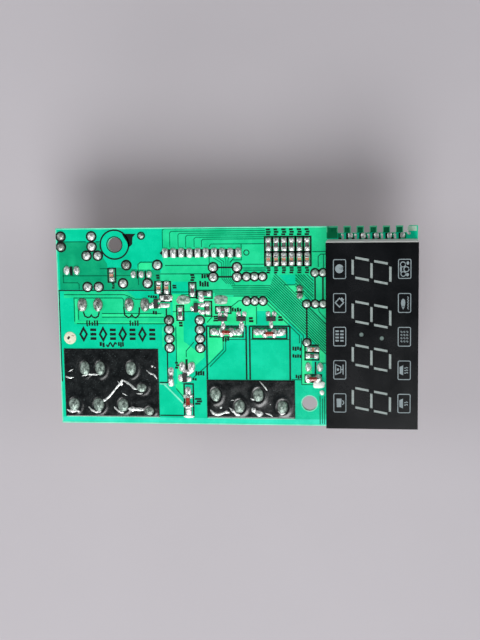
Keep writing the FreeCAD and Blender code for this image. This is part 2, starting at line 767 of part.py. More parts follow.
def make_transformer():
    base = size("board_base")
    half_stack = "Dims.core_stack / 2"

    core = doc.addObject("PartDesign::Body", "e_core")
    outline = sketch_in(core, "e_core_outline")
    leg_long = "Dims.board_base - Dims.core_gap - Dims.core_yoke"
    add_rectangle(outline, 0, 0, "Dims.core_wide", leg_long)
    pad(core, outline, "Dims.core_stack")
    window = sketch_in(core, "e_core_window")
    window_wide = "(Dims.core_wide - 2 * Dims.core_leg - Dims.core_middle) / 2"
    add_rectangle(window, "Dims.core_leg", "Dims.core_yoke", window_wide,
                  f"{leg_long} - Dims.core_yoke")
    windows = pocket(core, window, "e_core_window_cut")
    row_of(core, windows, window, f"Dims.core_middle + {window_wide}", 2)
    core.Placement = FreeCAD.Placement(V(), FreeCAD.Rotation(V(1, 0, 0), 90))
    place(core, board_x("Dims.core_x - Dims.core_wide / 2"), board_y(f"Dims.core_y - {half_stack}"), 0)
    node(core, "transformer_e_core")

    i_core = around_core("i_core", "Dims.core_wide / 2", half_stack,
                         below("Dims.core_gap + Dims.core_yoke"), below("Dims.core_gap"))
    node(i_core, "transformer_i_core")

    tube = around_core("bobbin_tube", 5.9, 7.9, below(24.2), below(5.7))
    flanges = [
        around_core(f"bobbin_flange_{index}", "Dims.bobbin_wide / 2", "Dims.bobbin_long / 2",
                    below(low), below(low - 1.0))
        for index, low in enumerate((6.75, 15.8, 24.9))
    ]
    feet = []
    for index, side in enumerate((-1, 1)):
        near = f"Dims.core_y + {side} * 7.1"
        far = f"Dims.core_y + {side} * Dims.bobbin_long / 2"
        span = (far, near) if side < 0 else (near, far)
        feet.append(block(f"bobbin_foot_{index}", ("Dims.core_x - 13", "Dims.core_x + 13"), span,
                          below(5.75), below(0.0)))
    solid = fuse("bobbin_solid", tube, *flanges, *feet)
    bore = around_core("bobbin_bore", 5.0, 7.0, below(26), below(5.5))
    pins = []
    for row, places, side in (("secondary", SECONDARY_PINS, -1), ("primary", PRIMARY_PINS, 1)):
        for x, radius in places:
            pins.append(post(f"transformer_{row}_pin_{int(x)}", x,
                             f"Dims.core_y + {side} * Dims.pin_row", radius, below(4.5), above(0)))
    pin_group = group("transformer_pins", pins)
    node(cut("transformer_bobbin", solid, bore, pin_group), "transformer_bobbin")
    node(pin_group, "transformer_pins")

    wound = (("secondary", 6.8, 14.75), ("primary", 15.85, 23.85))
    tapes = []
    for name, near, far in wound:
        coil = ring(name, (11.0, 13.2), (5.95, 7.95), base - far, base - near)
        label = f"transformer_{name}_winding"
        node(feature(label, coil), label)
        wrap_outer = ring(name, (11.35, 13.55), (1, 1), base - far + 0.2, base - near - 0.2, 2.85)
        wrap_inner = ring(name, (11.02, 13.22), (1, 1), base - far, base - near, 2.52)
        core_fill = Part.makeBox(10, 10, 40, point(size("core_x"), size("core_y"), 0) - V(5, 5, 0))
        tapes.append(wrap_outer.cut(wrap_inner.fuse(core_fill)))
    node(feature("transformer_tape", Part.makeCompound(tapes)), "transformer_tape")


# ---- relays --------------------------------------------------------------------------------------

def turned(shape, centre_alias):
    """Tilts a relay's armature shape open about its pivot."""
    pivot = point(size(centre_alias), size("relay_y") + size("pivot_along"),
                  size("board_base") - size("pivot_depth"))
    return shape.rotated(pivot, V(1, 0, 0), -size("relay_open_angle"))


def relay_box(centre_alias, side, along, deep):
    """A plain box in a relay: across its middle line, along its length and below the board."""
    middle = size(centre_alias)
    top = size("relay_y")
    base = size("board_base")
    low = point(middle + side[0], top + along[1], base - deep[1])
    return Part.makeBox(side[1] - side[0], along[1] - along[0], deep[1] - deep[0], low)


def make_relays():
    shared = {label: [] for label in (
        "relay_bases", "relay_covers", "relay_bobbins", "relay_windings", "relay_cores",
        "relay_yokes", "relay_coil_pins", "relay_fixed_contacts", "relay_spring_terminals",
    )}

    for name, centre in RELAYS:
        middle = f"Dims.{centre}"

        def across(low, high, middle=middle):
            return (f"{middle} + ({text(low)})", f"{middle} + ({text(high)})")

        def along(start, end):
            return (f"Dims.relay_y + ({text(start)})", f"Dims.relay_y + ({text(end)})")

        def part(piece, side, length, deep, name=name):
            return block(f"{name}_{piece}", across(*side), along(*length), below(deep[1]),
                         below(deep[0]))

        # Cover: a box that is open towards the board.
        shell = part("shell", ("-Dims.relay_wide / 2", "Dims.relay_wide / 2"),
                     (0, "Dims.relay_long"), ("Dims.relay_lift", "Dims.relay_lift + Dims.relay_high"))
        inner_side = "Dims.relay_wide / 2 - Dims.relay_wall"
        hollow = part("hollow", (f"-({inner_side})", inner_side),
                      ("Dims.relay_wall", "Dims.relay_long - Dims.relay_wall"),
                      ("Dims.relay_lift - 1", "Dims.relay_lift + Dims.relay_high - Dims.relay_wall"))
        shared["relay_covers"].append(cut(f"{name}_cover", shell, hollow))

        # Pins and contacts, which also shape their openings in the base and the bobbin.
        coil_pins = [
            part(f"coil_pin_{index}", (side - 0.3, side + 0.3), (RELAY_COIL - 0.3, RELAY_COIL + 0.3),
                 (0, 5.4))
            for index, side in enumerate((-RELAY_PIN_SIDE, RELAY_PIN_SIDE))
        ]
        for pin in coil_pins:
            pin.setExpression("Height", "5.4 + Dims.board_thick")
        shared["relay_coil_pins"].extend(coil_pins)

        fixed_leg = part("fixed_leg", (-RELAY_PIN_SIDE - 0.6, -RELAY_PIN_SIDE + 0.6),
                         (RELAY_FIXED - 0.3, RELAY_FIXED + 0.3), (0, 4))
        fixed_leg.setExpression("Height", "4 + Dims.board_thick")
        fixed_plate = part("fixed_plate", (-4.6, 2.0), (RELAY_FIXED - 0.3, RELAY_FIXED + 0.3),
                           (2.5, 11.2))
        rivet = lying(f"{name}_fixed_rivet", middle,
                      along(RELAY_FIXED + 0.2, RELAY_FIXED + 2.1), 1.4, 9.5)
        shared["relay_fixed_contacts"].append(fuse(f"{name}_fixed", fixed_leg, fixed_plate, rivet))

        spring_leg = part("spring_leg", (RELAY_PIN_SIDE - 0.6, RELAY_PIN_SIDE + 0.6),
                          (RELAY_SPRING - 0.2, RELAY_SPRING + 0.2), (0, 2.45))
        spring_leg.setExpression("Height", "2.45 + Dims.board_thick")
        shared["relay_spring_terminals"].append(spring_leg)

        # Base: closes the cover, with an opening for each pin.
        inset = "Dims.relay_wall + 0.05"
        plate = part("base_plate", (f"-Dims.relay_wide / 2 + {inset}", f"Dims.relay_wide / 2 - ({inset})"),
                     (inset, f"Dims.relay_long - ({inset})"), ("Dims.relay_lift", 2.3))
        openings = [
            part(f"base_opening_{index}", (side - wide, side + wide), (spot - thick, spot + thick),
                 (-1, 3))
            for index, (side, spot, wide, thick) in enumerate((
                (-RELAY_PIN_SIDE, RELAY_COIL, 0.35, 0.35),
                (RELAY_PIN_SIDE, RELAY_COIL, 0.35, 0.35),
                (-RELAY_PIN_SIDE, RELAY_FIXED, 0.65, 0.35),
                (RELAY_PIN_SIDE, RELAY_SPRING, 0.65, 0.25),
            ))
        ]
        shared["relay_bases"].append(cut(f"{name}_base", plate, *openings))

        # Magnet: an L-shaped yoke, the core through the coil with its pole face, and the coil.
        heel = part("yoke_heel", (-3.2, 3.2), (2.9, 4.1), (2.5, 13.0))
        arm = part("yoke_arm", (-3.2, 3.2), (2.9, 16.9), (2.5, 3.7))
        heel_hole = lying(f"{name}_heel_hole", middle, along(1, 6), 1.82, 8.4)
        yoke = fuse(f"{name}_yoke_solid", heel, arm)
        shared["relay_yokes"].append(cut(f"{name}_yoke", yoke, heel_hole))
        rod = lying(f"{name}_core_rod", middle, along(2.9, 16.3), 1.8, 8.4)
        pole = lying(f"{name}_pole_face", middle, along(16.2, 16.88), 3.2, 8.4)
        shared["relay_cores"].append(fuse(f"{name}_core", rod, pole))
        tube = lying(f"{name}_coil_tube", middle, along(4.3, 16.1), 2.3, 8.4)
        ends = [part(f"coil_end_{index}", (-4.5, 4.5), span, (3.9, 12.9))
                for index, span in enumerate(((4.3, 5.1), (15.3, 16.1)))]
        pin_bar = part("coil_pin_bar", (-4.7, 4.7), (0.9, 2.7), (3.9, 5.9))
        cheeks = [part(f"coil_cheek_{index}", span, (2.2, 4.6), (3.9, 5.9))
                  for index, span in enumerate(((-4.7, -3.4), (3.4, 4.7)))]
        former = fuse(f"{name}_former_solid", tube, *ends, pin_bar, *cheeks)
        bore = lying(f"{name}_former_bore", middle, along(1, 18), 1.85, 8.4)
        pin_holes = [
            part(f"pin_hole_{index}", (side - 0.31, side + 0.31),
                 (RELAY_COIL - 0.31, RELAY_COIL + 0.31), (3, 5.45))
            for index, side in enumerate((-RELAY_PIN_SIDE, RELAY_PIN_SIDE))
        ]
        shared["relay_bobbins"].append(cut(f"{name}_former", former, bore, *pin_holes))
        wire = lying(f"{name}_wire", middle, along(5.15, 15.25), 4.1, 8.4)
        wire_bore = lying(f"{name}_wire_bore", middle, along(4, 17), 2.35, 8.4)
        shared["relay_windings"].append(cut(f"{name}_winding", wire, wire_bore))

        # Moving pieces: the armature, the card that it pulls and the contact spring that follows.
        front = size("pivot_along")
        thick = size("armature_thick")
        pivot = size("pivot_depth")
        leaf = relay_box(centre, (-4.0, 4.0), (front, front + thick), (pivot, 13.1))
        tongue = relay_box(centre, (-1.5, 1.5), (front, front + thick), (13.0, 14.5))
        armature = turned(leaf.fuse(tongue).removeSplitter(), centre)
        node(feature(f"{name}_armature", armature), f"{name}_armature")

        strip = part("card_strip", (-3.0, 3.0), (16.9, 26.7), (13.55, 14.25))
        armature_slot = part("card_slot_a", (-1.65, 1.65), (17.78, 19.1), (13, 15))
        spring_slot = part("card_slot_b", (-1.35, 1.35), (25.05, 25.75), (13, 15))
        card = cut(f"{name}_card", strip, armature_slot, spring_slot)
        node(card, f"{name}_card")

        blade = relay_box(centre, (-3.0, 4.6), (25.25, 25.55), (2.55, 13.2))
        tip = relay_box(centre, (-1.2, 1.2), (25.25, 25.55), (13.1, 14.6))
        axis_spot = point(size(centre), size("relay_y") + 24.55, size("board_base") - 9.5)
        button = Part.makeCylinder(1.4, 0.8, axis_spot - V(0, 0.8, 0), V(0, 1, 0))
        spring = blade.multiFuse([tip, button]).removeSplitter()
        node(feature(f"{name}_contact_spring", spring), f"{name}_contact_spring")

    for label, pieces in shared.items():
        node(group(label, pieces), label)


# ---- mains side ----------------------------------------------------------------------------------

def make_mains_header():
    foot = block("mains_foot", (0.5, 23.7), (52.0, 60.2), below(3.0), below(0.0))
    wall = block("mains_wall", (0.5, 23.7), (52.0, 53.2), below(9.5), below(2.9))
    pins = []
    holes = []
    for index, x in enumerate(MAINS_X):
        for items, name, half in ((pins, "pin", 0.55), (holes, "hole", 0.57)):
            items.append(block(f"mains_{name}_{index}", (x - half, x + half),
                               (MAINS_Y - half, MAINS_Y + half), below(11.0), above(0)))
    solid = fuse("mains_solid", foot, wall)
    node(cut("mains_header_housing", solid, *holes), "mains_header_housing")
    node(group("mains_header_pins", pins), "mains_header_pins")


def make_varistor():
    """A round disc that stands on edge over its two leads."""
    (start_x, start_y), (end_x, end_y) = VARISTOR_LEADS
    centre = point((start_x + end_x) / 2, (start_y + end_y) / 2, size("board_base") - 6.6)
    line = point(end_x, end_y, 0) - point(start_x, start_y, 0)
    normal = V(line.y, -line.x, 0).normalize()
    radius = 4.5
    thick = 3.6
    disc = Part.makeCylinder(radius, thick, centre - normal * (thick / 2), normal)
    rims = [edge for edge in disc.Edges if abs(edge.Length - 2 * math.pi * radius) < 0.01]
    node(feature("varistor", disc.makeFillet(1.2, rims)), "varistor")


# ---- wires and leads -----------------------------------------------------------------------------

def bent_wire(start, end, depth, radius, stop=None):
    """A wire that rises through the board, bends once and runs towards end, to stop short of it.

    With stop left out the wire bends twice and rises again at end, as a link does.
    """
    top = size("board_base") + size("board_thick")
    level = size("board_base") - depth
    bend = 2.5 * radius
    first = point(*start, top)
    last = point(*end, top)
    way = V(last.x - first.x, last.y - first.y, 0)
    full = way.Length
    way = way.normalize()
    down = V(0, 0, -1)
    slope = math.sqrt(0.5)

    def corner(foot, heading):
        middle = foot + down * (top - level - bend) + heading * bend
        begin = foot + down * (top - level - bend)
        half = middle - heading * bend * slope + down * bend * slope
        finish = middle + down * bend
        return begin, half, finish

    begin, half, finish = corner(first, way)
    edges = [Part.LineSegment(first, begin).toShape(), Part.Arc(begin, half, finish).toShape()]
    if stop is None:
        back_begin, back_half, back_finish = corner(last, way * -1)
        edges.append(Part.LineSegment(finish, back_finish).toShape())
        edges.append(Part.Arc(back_finish, back_half, back_begin).toShape())
        edges.append(Part.LineSegment(back_begin, last).toShape())
    else:
        target = point(*start, level) + way * (full / 2 - stop)
        edges.append(Part.LineSegment(finish, target).toShape())
    section = Part.Wire(Part.makeCircle(radius, first, down))
    return Part.Wire(edges).makePipeShell([section], True, False)


def make_axial_parts():
    """Bodies that lie under the board between two bent leads."""
    leads = []

    def lay(name, ends, radius, long, depth, wire):
        (start_x, start_y), (end_x, end_y) = ends
        across = start_y == end_y
        middle = (start_x + end_x) / 2 if across else (start_y + end_y) / 2
        span = (middle - long / 2, middle + long / 2)
        spot = (span, start_y) if across else (start_x, span)
        leads.append(bent_wire(ends[0], ends[1], depth, wire, long / 2))
        leads.append(bent_wire(ends[1], ends[0], depth, wire, long / 2))
        return lying(name, *spot, radius, depth, across)

    diodes = [
        lay(f"diode_{index}", ((DIODE_X[0], y), (DIODE_X[1], y)), 1.35, 5.2, 1.6, 0.38)
        for index, y in enumerate(DIODE_Y)
    ]
    node(group("rectifier_diodes", diodes), "rectifier_diodes")
    small = [lay(f"resistor_{index}", ends, 1.15, 6.2, 1.45, 0.28)
             for index, ends in enumerate(SMALL_AXIAL)]
    node(group("axial_resistors", small), "axial_resistors")
    node(lay("power_resistor", POWER_AXIAL, 2.2, 9.0, 3.4, 0.38), "power_resistor")
    node(feature("axial_leads", Part.makeCompound(leads)), "axial_leads")
    links = [bent_wire(start, end, 0.75, 0.28) for start, end in WIRE_LINKS]
    node(feature("wire_links", Part.makeCompound(links)), "wire_links")


def make_radial_parts():
    """Capacitors, transistor, resonator and buzzer, which stand off the board on straight leads."""
    leads = []
    cans = []
    seals = []

    def lead(name, x, y, radius, depth):
        leads.append(post(f"{name}_lead_{len(leads)}", x, y, radius, below(depth), above(0)))

    for index, (x, y, radius, height, spacing, across) in enumerate(CAPACITORS):
        can = post(f"can_{index}", x, y, radius, below(height + 0.3), below(0.3))
        crimp = doc.addObject("Part::Torus", f"can_{index}_crimp")
        crimp.setExpression("Radius1", f"{radius} + 0.35")
        crimp.setExpression("Radius2", "0.6")
        place(crimp, board_x(x), board_y(y), below(2.6))
        recess = post(f"can_{index}_mouth", x, y, radius - 0.5, below(1.5), below(0.0))
        cans.append(cut(f"capacitor_{index}", can, crimp, recess))
        plug = post(f"seal_{index}_disc", x, y, radius - 0.5, below(1.5), below(0.6))
        places = capacitor_leads(x, y, spacing, across)
        ports = [post(f"seal_{index}_port_{spot}", *place_of, 0.25, below(2), below(0))
                 for spot, place_of in enumerate(places)]
        seals.append(cut(f"seal_{index}", plug, *ports))
        for spot_x, spot_y in places:
            lead("capacitor", spot_x, spot_y, 0.25, 1.5)
    node(group("capacitor_cans", cans), "capacitor_cans")
    node(group("capacitor_seals", seals), "capacitor_seals")

    for x, y in VARISTOR_LEADS:
        lead("varistor", x, y, 0.3, 4.0)
    for x, y in TRANSISTOR_LEADS:
        lead("transistor", x, y, 0.22, 3.0)
    for x in RESONATOR_X:
        lead("resonator", x, RESONATOR_Y, 0.25, 1.0)
    for x in BUZZER_X:
        lead("buzzer", x, BUZZER_Y, 0.3, 0.5)

    barrel = post("transistor_barrel", 27.0, 14.5, 2.3, below(7.6), below(3.0))
    flat = block("transistor_flat", (24, 30), (15.7, 18), below(9), below(2))
    node(cut("power_transistor", barrel, flat), "power_transistor")
    node(block("resonator", (93.2, 101.0), (12.0, 15.0), below(6.5), below(1.0)), "resonator")
    shell = post("buzzer_shell", 97.1, BUZZER_Y, 5.9, below(9.0), below(0.5))
    sound_hole = post("buzzer_hole", 97.1, BUZZER_Y, 1.0, below(10), below(6))
    node(cut("buzzer", shell, sound_hole), "buzzer")
    return leads


def trim_varistor_leads(leads):
    """The varistor's leads end at its coating, and all the radial leads share one sub-part."""
    disc = next(item for item in nodes if item.Label == "varistor")
    trimmed = []
    for item in leads:
        trimmed.append(cut(f"{item.Name}_trimmed", item, disc) if "varistor" in item.Name else item)
    node(group("radial_leads", trimmed), "radial_leads")


# ---- keypad connector and integrated circuits ----------------------------------------------------

def make_keypad_connector():
    """A tail socket: a slot along the housing, and a contact blade beside it for each way."""
    shell = block("keypad_shell", (32.6, 59.7), (5.0, 10.8), below(8.0), below(0.0))
    slot = block("keypad_slot", (33.6, 58.7), (8.15, 9.45), below(9.0), below(2.2))
    blades = []
    grooves = []
    for index, x in enumerate(KEYPAD_X):
        blades.append(block(f"keypad_blade_{index}", (x - 0.25, x + 0.25), (7.65, 8.15),
                            below(7.0), above(0)))
        grooves.append(block(f"keypad_groove_{index}", (x - 0.27, x + 0.27), (7.63, 8.17),
                             below(7.2), below(-1)))
    node(cut("keypad_connector_housing", shell, slot, *grooves), "keypad_connector_housing")
    node(group("keypad_connector_contacts", blades), "keypad_connector_contacts")


def make_chips_with_pins():
    """The optocoupler and the microcontroller. A pin runs level out of the body and turns down."""
    pins = []

    def pin(name, x, y, out_x, out_y, reach, wide, deep):
        """One pin at x, y. The body's side is reach away, against the outward direction."""
        thin = 0.13
        half = wide / 2
        if out_x:
            inner = x - out_x * reach
            span_x = (min(inner, x + out_x * thin), max(inner, x + out_x * thin))
            leg = ((x - thin, x + thin), (y - half, y + half))
            shoulder = (span_x, (y - half, y + half))
        else:
            inner = y - out_y * reach
            span_y = (min(inner, y + out_y * thin), max(inner, y + out_y * thin))
            leg = ((x - half, x + half), (y - thin, y + thin))
            shoulder = ((x - half, x + half), span_y)
        down = block(f"{name}_leg", *leg, below(deep), above(0))
        level = block(f"{name}_shoulder", *shoulder, below(deep + 0.25), below(deep))
        pins.append(fuse(name, down, level))

    middle_y = sum(OPTO_ROWS) / 2
    node(block("optocoupler", (58.7, 66.1), (middle_y - 3.2, middle_y + 3.2), below(4.2), below(0.6)),
         "optocoupler")
    for index, x in enumerate(OPTO_X):
        for y, side in ((OPTO_ROWS[0], -1), (OPTO_ROWS[1], 1)):
            reach = abs(y - middle_y) - 3.2
            pin(f"optocoupler_pin_{index}_{side + 1}", x, y, 0, side, reach, 0.5, 2.3)

    centre_x, centre_y = CHIP_CENTRE
    half_long = 14.2
    body = block("controller_body", (centre_x - 4.3, centre_x + 4.3),
                 (centre_y - half_long, centre_y + half_long), below(4.4), below(0.6))
    dimple = post("controller_mark", centre_x, centre_y - half_long, 1.0, below(5), below(3.9))
    node(cut("microcontroller", body, dimple), "microcontroller")
    for index, (x, y, side) in enumerate(chip_pin_places()):
        direction = 1 if side > 0 else -1
        pin(f"controller_pin_{index}", x, y, direction, 0, CHIP_ROW - 4.3, 0.48, 2.4)
    node(group("integrated_circuit_pins", pins), "integrated_circuit_pins")


# ---- build, check and write ----------------------------------------------------------------------

def check_everything():
    for item in doc.Objects:
        if "Invalid" in item.State or "Error" in item.State:
            raise RuntimeError(f"{item.Name} did not build: {item.State}")
    for item in nodes:
        if item.Shape.isNull() or not item.Shape.isValid():
            raise RuntimeError(f"{item.Label} has no valid shape")
        if any(solid.Volume <= 0 for solid in item.Shape.Solids) or not item.Shape.Solids:
            raise RuntimeError(f"{item.Label} has an empty or inside-out solid")


make_board()
make_solder_joints()
make_sheet("mains_insulating_sheet", (1.3, 31.7), (38.0, 59.8))
make_sheet("relay_insulating_sheet", (46.9, 74.6), (47.7, 59.8))
make_inspection_dot()
make_chips("small_resistors", SMALL_RESISTORS, 0.5)
make_chips("small_capacitors", SMALL_CAPACITORS, 0.85)
make_small_transistors()
make_glass_diodes()
make_display()
make_transformer()
make_relays()
make_mains_header()
make_varistor()
make_axial_parts()
trim_varistor_leads(make_radial_parts())
make_keypad_connector()
make_chips_with_pins()
doc.recompute()
check_everything()

os.makedirs("parts", exist_ok=True)
for item in nodes:
    item.Shape.exportStep(f"parts/{item.Label}.step")
    print(f"{item.Label}: {len(item.Shape.Solids)} solids, {item.Shape.Volume:.2f} mm3")
print(len(nodes), "sub-parts")
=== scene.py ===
"""Looks of the oven control board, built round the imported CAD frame.

Places on the board are millimetres from its upper left corner, x to the right and y down the copper side,
and h is the height over the copper side. Everything else is in metres.
"""

import json
import math
import random

import bmesh
import bpy
from mathutils import Matrix, Vector, noise

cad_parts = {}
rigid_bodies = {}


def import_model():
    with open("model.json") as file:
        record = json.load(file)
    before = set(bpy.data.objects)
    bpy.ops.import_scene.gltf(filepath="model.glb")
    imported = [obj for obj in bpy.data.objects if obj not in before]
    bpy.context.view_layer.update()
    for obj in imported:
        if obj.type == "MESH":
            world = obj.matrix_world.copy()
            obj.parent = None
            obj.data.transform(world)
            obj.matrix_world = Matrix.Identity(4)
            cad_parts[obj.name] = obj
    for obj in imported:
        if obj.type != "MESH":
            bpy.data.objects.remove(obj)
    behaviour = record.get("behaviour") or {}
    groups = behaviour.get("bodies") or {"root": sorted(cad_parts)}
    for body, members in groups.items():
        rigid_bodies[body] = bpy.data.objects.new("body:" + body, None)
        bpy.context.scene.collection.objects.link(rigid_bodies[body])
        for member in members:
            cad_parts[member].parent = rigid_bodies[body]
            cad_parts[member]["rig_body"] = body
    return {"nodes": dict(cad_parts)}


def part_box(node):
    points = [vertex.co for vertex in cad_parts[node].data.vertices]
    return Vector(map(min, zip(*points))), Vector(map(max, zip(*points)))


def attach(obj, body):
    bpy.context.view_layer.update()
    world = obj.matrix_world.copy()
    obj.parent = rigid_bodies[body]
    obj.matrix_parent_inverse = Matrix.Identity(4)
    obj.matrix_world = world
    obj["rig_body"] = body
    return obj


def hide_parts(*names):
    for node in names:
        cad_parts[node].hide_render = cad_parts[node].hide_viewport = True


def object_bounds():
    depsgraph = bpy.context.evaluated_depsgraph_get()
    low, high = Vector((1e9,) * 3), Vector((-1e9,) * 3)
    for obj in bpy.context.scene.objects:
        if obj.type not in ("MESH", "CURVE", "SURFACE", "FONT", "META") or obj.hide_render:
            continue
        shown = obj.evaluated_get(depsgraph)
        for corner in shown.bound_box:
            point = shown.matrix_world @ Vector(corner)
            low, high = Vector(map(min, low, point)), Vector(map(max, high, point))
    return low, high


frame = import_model()
cad_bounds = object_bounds()

MM = 0.001
ROOT = "control_board"
board_low, board_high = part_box("circuit_board")
BOARD_WIDE = round((board_high.x - board_low.x) / MM, 3)
BOARD_TALL = round((board_high.y - board_low.y) / MM, 3)
MARGIN = 0.04                                 # nothing that Shape makes comes nearer to the board's edge
PIN_X, PIN_Y, PIN_PITCH = 34.7, 7.9, 2.54     # the keypad connector's row of joints
TAB_X, TAB_PITCH = 87.97, 3.93                # the notches and tabs along the upper right edge


def at(x, y, h=0.0):
    return Vector((board_low.x + x * MM, board_high.y - y * MM, board_high.z + h * MM))


def board_box(node):
    """A CAD node's box on the board: x0, y0, x1, y1, lowest h, highest h."""
    low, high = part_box(node)
    return to_board(low, high)


def to_board(low, high):
    return (
        (low.x - board_low.x) / MM,
        (board_high.y - high.y) / MM,
        (high.x - board_low.x) / MM,
        (board_high.y - low.y) / MM,
        (low.z - board_high.z) / MM,
        (high.z - board_high.z) / MM,
    )


def islands(node):
    """The board boxes of a CAD node's separate solids, from left to right."""
    mesh = frame["nodes"][node].data
    places, parent = {}, []
    index = []
    for v in mesh.vertices:
        key = tuple(round(c, 6) for c in v.co)
        if key not in places:
            places[key] = len(parent)
            parent.append(len(parent))
        index.append(places[key])

    def top(i):
        while parent[i] != i:
            parent[i] = parent[parent[i]]
            i = parent[i]
        return i

    for polygon in mesh.polygons:
        first = top(index[polygon.vertices[0]])
        for v in polygon.vertices[1:]:
            parent[top(index[v])] = first
    groups = {}
    for key, i in places.items():
        groups.setdefault(top(i), []).append(key)
    found = []
    for points in groups.values():
        low = Vector(map(min, zip(*points)))
        high = Vector(map(max, zip(*points)))
        found.append(to_board(low, high))
    return sorted(found)


def middle_of(place):
    """Middle and half sizes of a board box, seen from above: x, y, half_x, half_y."""
    x0, y0, x1, y1 = place[:4]
    return (x0 + x1) / 2, (y0 + y1) / 2, (x1 - x0) / 2, (y1 - y0) / 2


def is_round(half_x, half_y):
    """Whether a joint is one of the round ones that have a printed ring."""
    return 1.05 < half_x < 1.4 and abs(half_x - half_y) < 0.12


def new_object(name, data):
    made = bpy.data.objects.new(name, data)
    bpy.context.scene.collection.objects.link(made)
    return made


def mesh_data(name, mesh):
    """A bmesh written to mesh data, and freed."""
    data = bpy.data.meshes.new(name)
    mesh.to_mesh(data)
    mesh.free()
    return data


# ---- materials -------------------------------------------------------------------------------------

def rgb(red, green, blue):
    """A colour given as it looks on a screen, 0 to 255, as Blender's linear colour."""
    linear = []
    for value in (red, green, blue):
        value /= 255
        linear.append(value / 12.92 if value <= 0.04045 else ((value + 0.055) / 1.055) ** 2.4)
    return (*linear, 1.0)


class Nodes:
    """Short ways to add and join shader nodes."""

    def __init__(self, material):
        material.use_nodes = True
        self.tree = material.node_tree
        self.shader = self.tree.nodes["Principled BSDF"]
        self.place = self.add("ShaderNodeTexCoord").outputs["Object"]

    def add(self, kind, **values):
        made = self.tree.nodes.new(kind)
        for name, value in values.items():
            setattr(made, name, value)
        return made

    def join(self, source, target):
        self.tree.links.new(source, target)

    def noise(self, scale, detail=5.0):
        made = self.add("ShaderNodeTexNoise")
        made.inputs["Scale"].default_value = scale
        made.inputs["Detail"].default_value = detail
        made.inputs["Roughness"].default_value = 0.6
        self.join(self.place, made.inputs["Vector"])
        return made.outputs["Fac"]

    def bands(self, axis, pitch):
        """Fine lines across an axis, one each pitch in millimetres."""
        made = self.add("ShaderNodeTexWave", bands_direction=axis)
        made.inputs["Scale"].default_value = math.pi / (10 * pitch * MM)
        self.join(self.place, made.inputs["Vector"])
        return made.outputs["Fac"]

    def spread(self, value, low, high, start=0.3, end=0.7):
        made = self.add("ShaderNodeMapRange")
        for name, number in (("From Min", start), ("From Max", end), ("To Min", low), ("To Max", high)):
            made.inputs[name].default_value = number
        self.join(value, made.inputs["Value"])
        return made.outputs["Result"]

    def mix(self, share, first, second):
        made = self.add("ShaderNodeMix", data_type="RGBA")
        for socket, value in ((made.inputs[0], share), (made.inputs[6], first), (made.inputs[7], second)):
            if isinstance(value, tuple):
                socket.default_value = value
            else:
                self.join(value, socket)
        return made.outputs[2]

    def bump(self, height, depth, onto=None):
        made = self.add("ShaderNodeBump")
        made.inputs["Distance"].default_value = depth * MM
        self.join(height, made.inputs["Height"])
        if onto is not None:
            self.join(onto, made.inputs["Normal"])
        return made.outputs["Normal"]


def surface(name, dark, light, rough=(0.3, 0.5), metal=0.0, patch=300, grain=4000, depth=0.01,
            lines=(), line_depth=0.02, line_dark=0.5, specks=None, **inputs):
    """A material with patchy colour and gloss, a fine grain in its surface, and lines for layers or turns."""
    made = bpy.data.materials.new(name)
    nodes = Nodes(made)
    broad = nodes.noise(patch)
    fine = nodes.noise(grain, detail=3.0)
    colour = nodes.mix(nodes.spread(broad, 0.0, 1.0), rgb(*dark), rgb(*light))
    normal = nodes.bump(fine, depth)
    for axis, pitch in lines:
        band = nodes.bands(axis, pitch)
        shade = nodes.spread(band, line_dark, 0.0, 0.0, 0.45)
        colour = nodes.mix(shade, colour, rgb(*(c * 0.25 for c in dark)))
        normal = nodes.bump(band, line_depth, onto=normal)
    if specks:
        spots = nodes.noise(specks[1], detail=1.0)
        colour = nodes.mix(nodes.spread(spots, 0.0, 0.85, 0.66, 0.74), colour, rgb(*specks[0]))
    nodes.join(colour, nodes.shader.inputs["Base Color"])
    mixed = nodes.add("ShaderNodeMath", operation="MULTIPLY_ADD")
    nodes.join(fine, mixed.inputs[0])
    mixed.inputs[1].default_value = 0.12
    nodes.join(nodes.spread(broad, rough[0] - 0.06, rough[1] - 0.06), mixed.inputs[2])
    nodes.join(mixed.outputs["Value"], nodes.shader.inputs["Roughness"])
    nodes.join(normal, nodes.shader.inputs["Normal"])
    nodes.shader.inputs["Metallic"].default_value = metal
    for key, value in inputs.items():
        nodes.shader.inputs[key.replace("_", " ")].default_value = value
    return made


def masked(name, dark, light):
    """Glossy green lacquer over glass cloth, whose weave shows faintly."""
    return surface(name, dark, light, rough=(0.2, 0.34), patch=160, grain=2600, depth=0.005,
                   lines=(("X", 0.5), ("Y", 0.5)), line_depth=0.0025, line_dark=0.03,
                   Specular_IOR_Level=0.18)


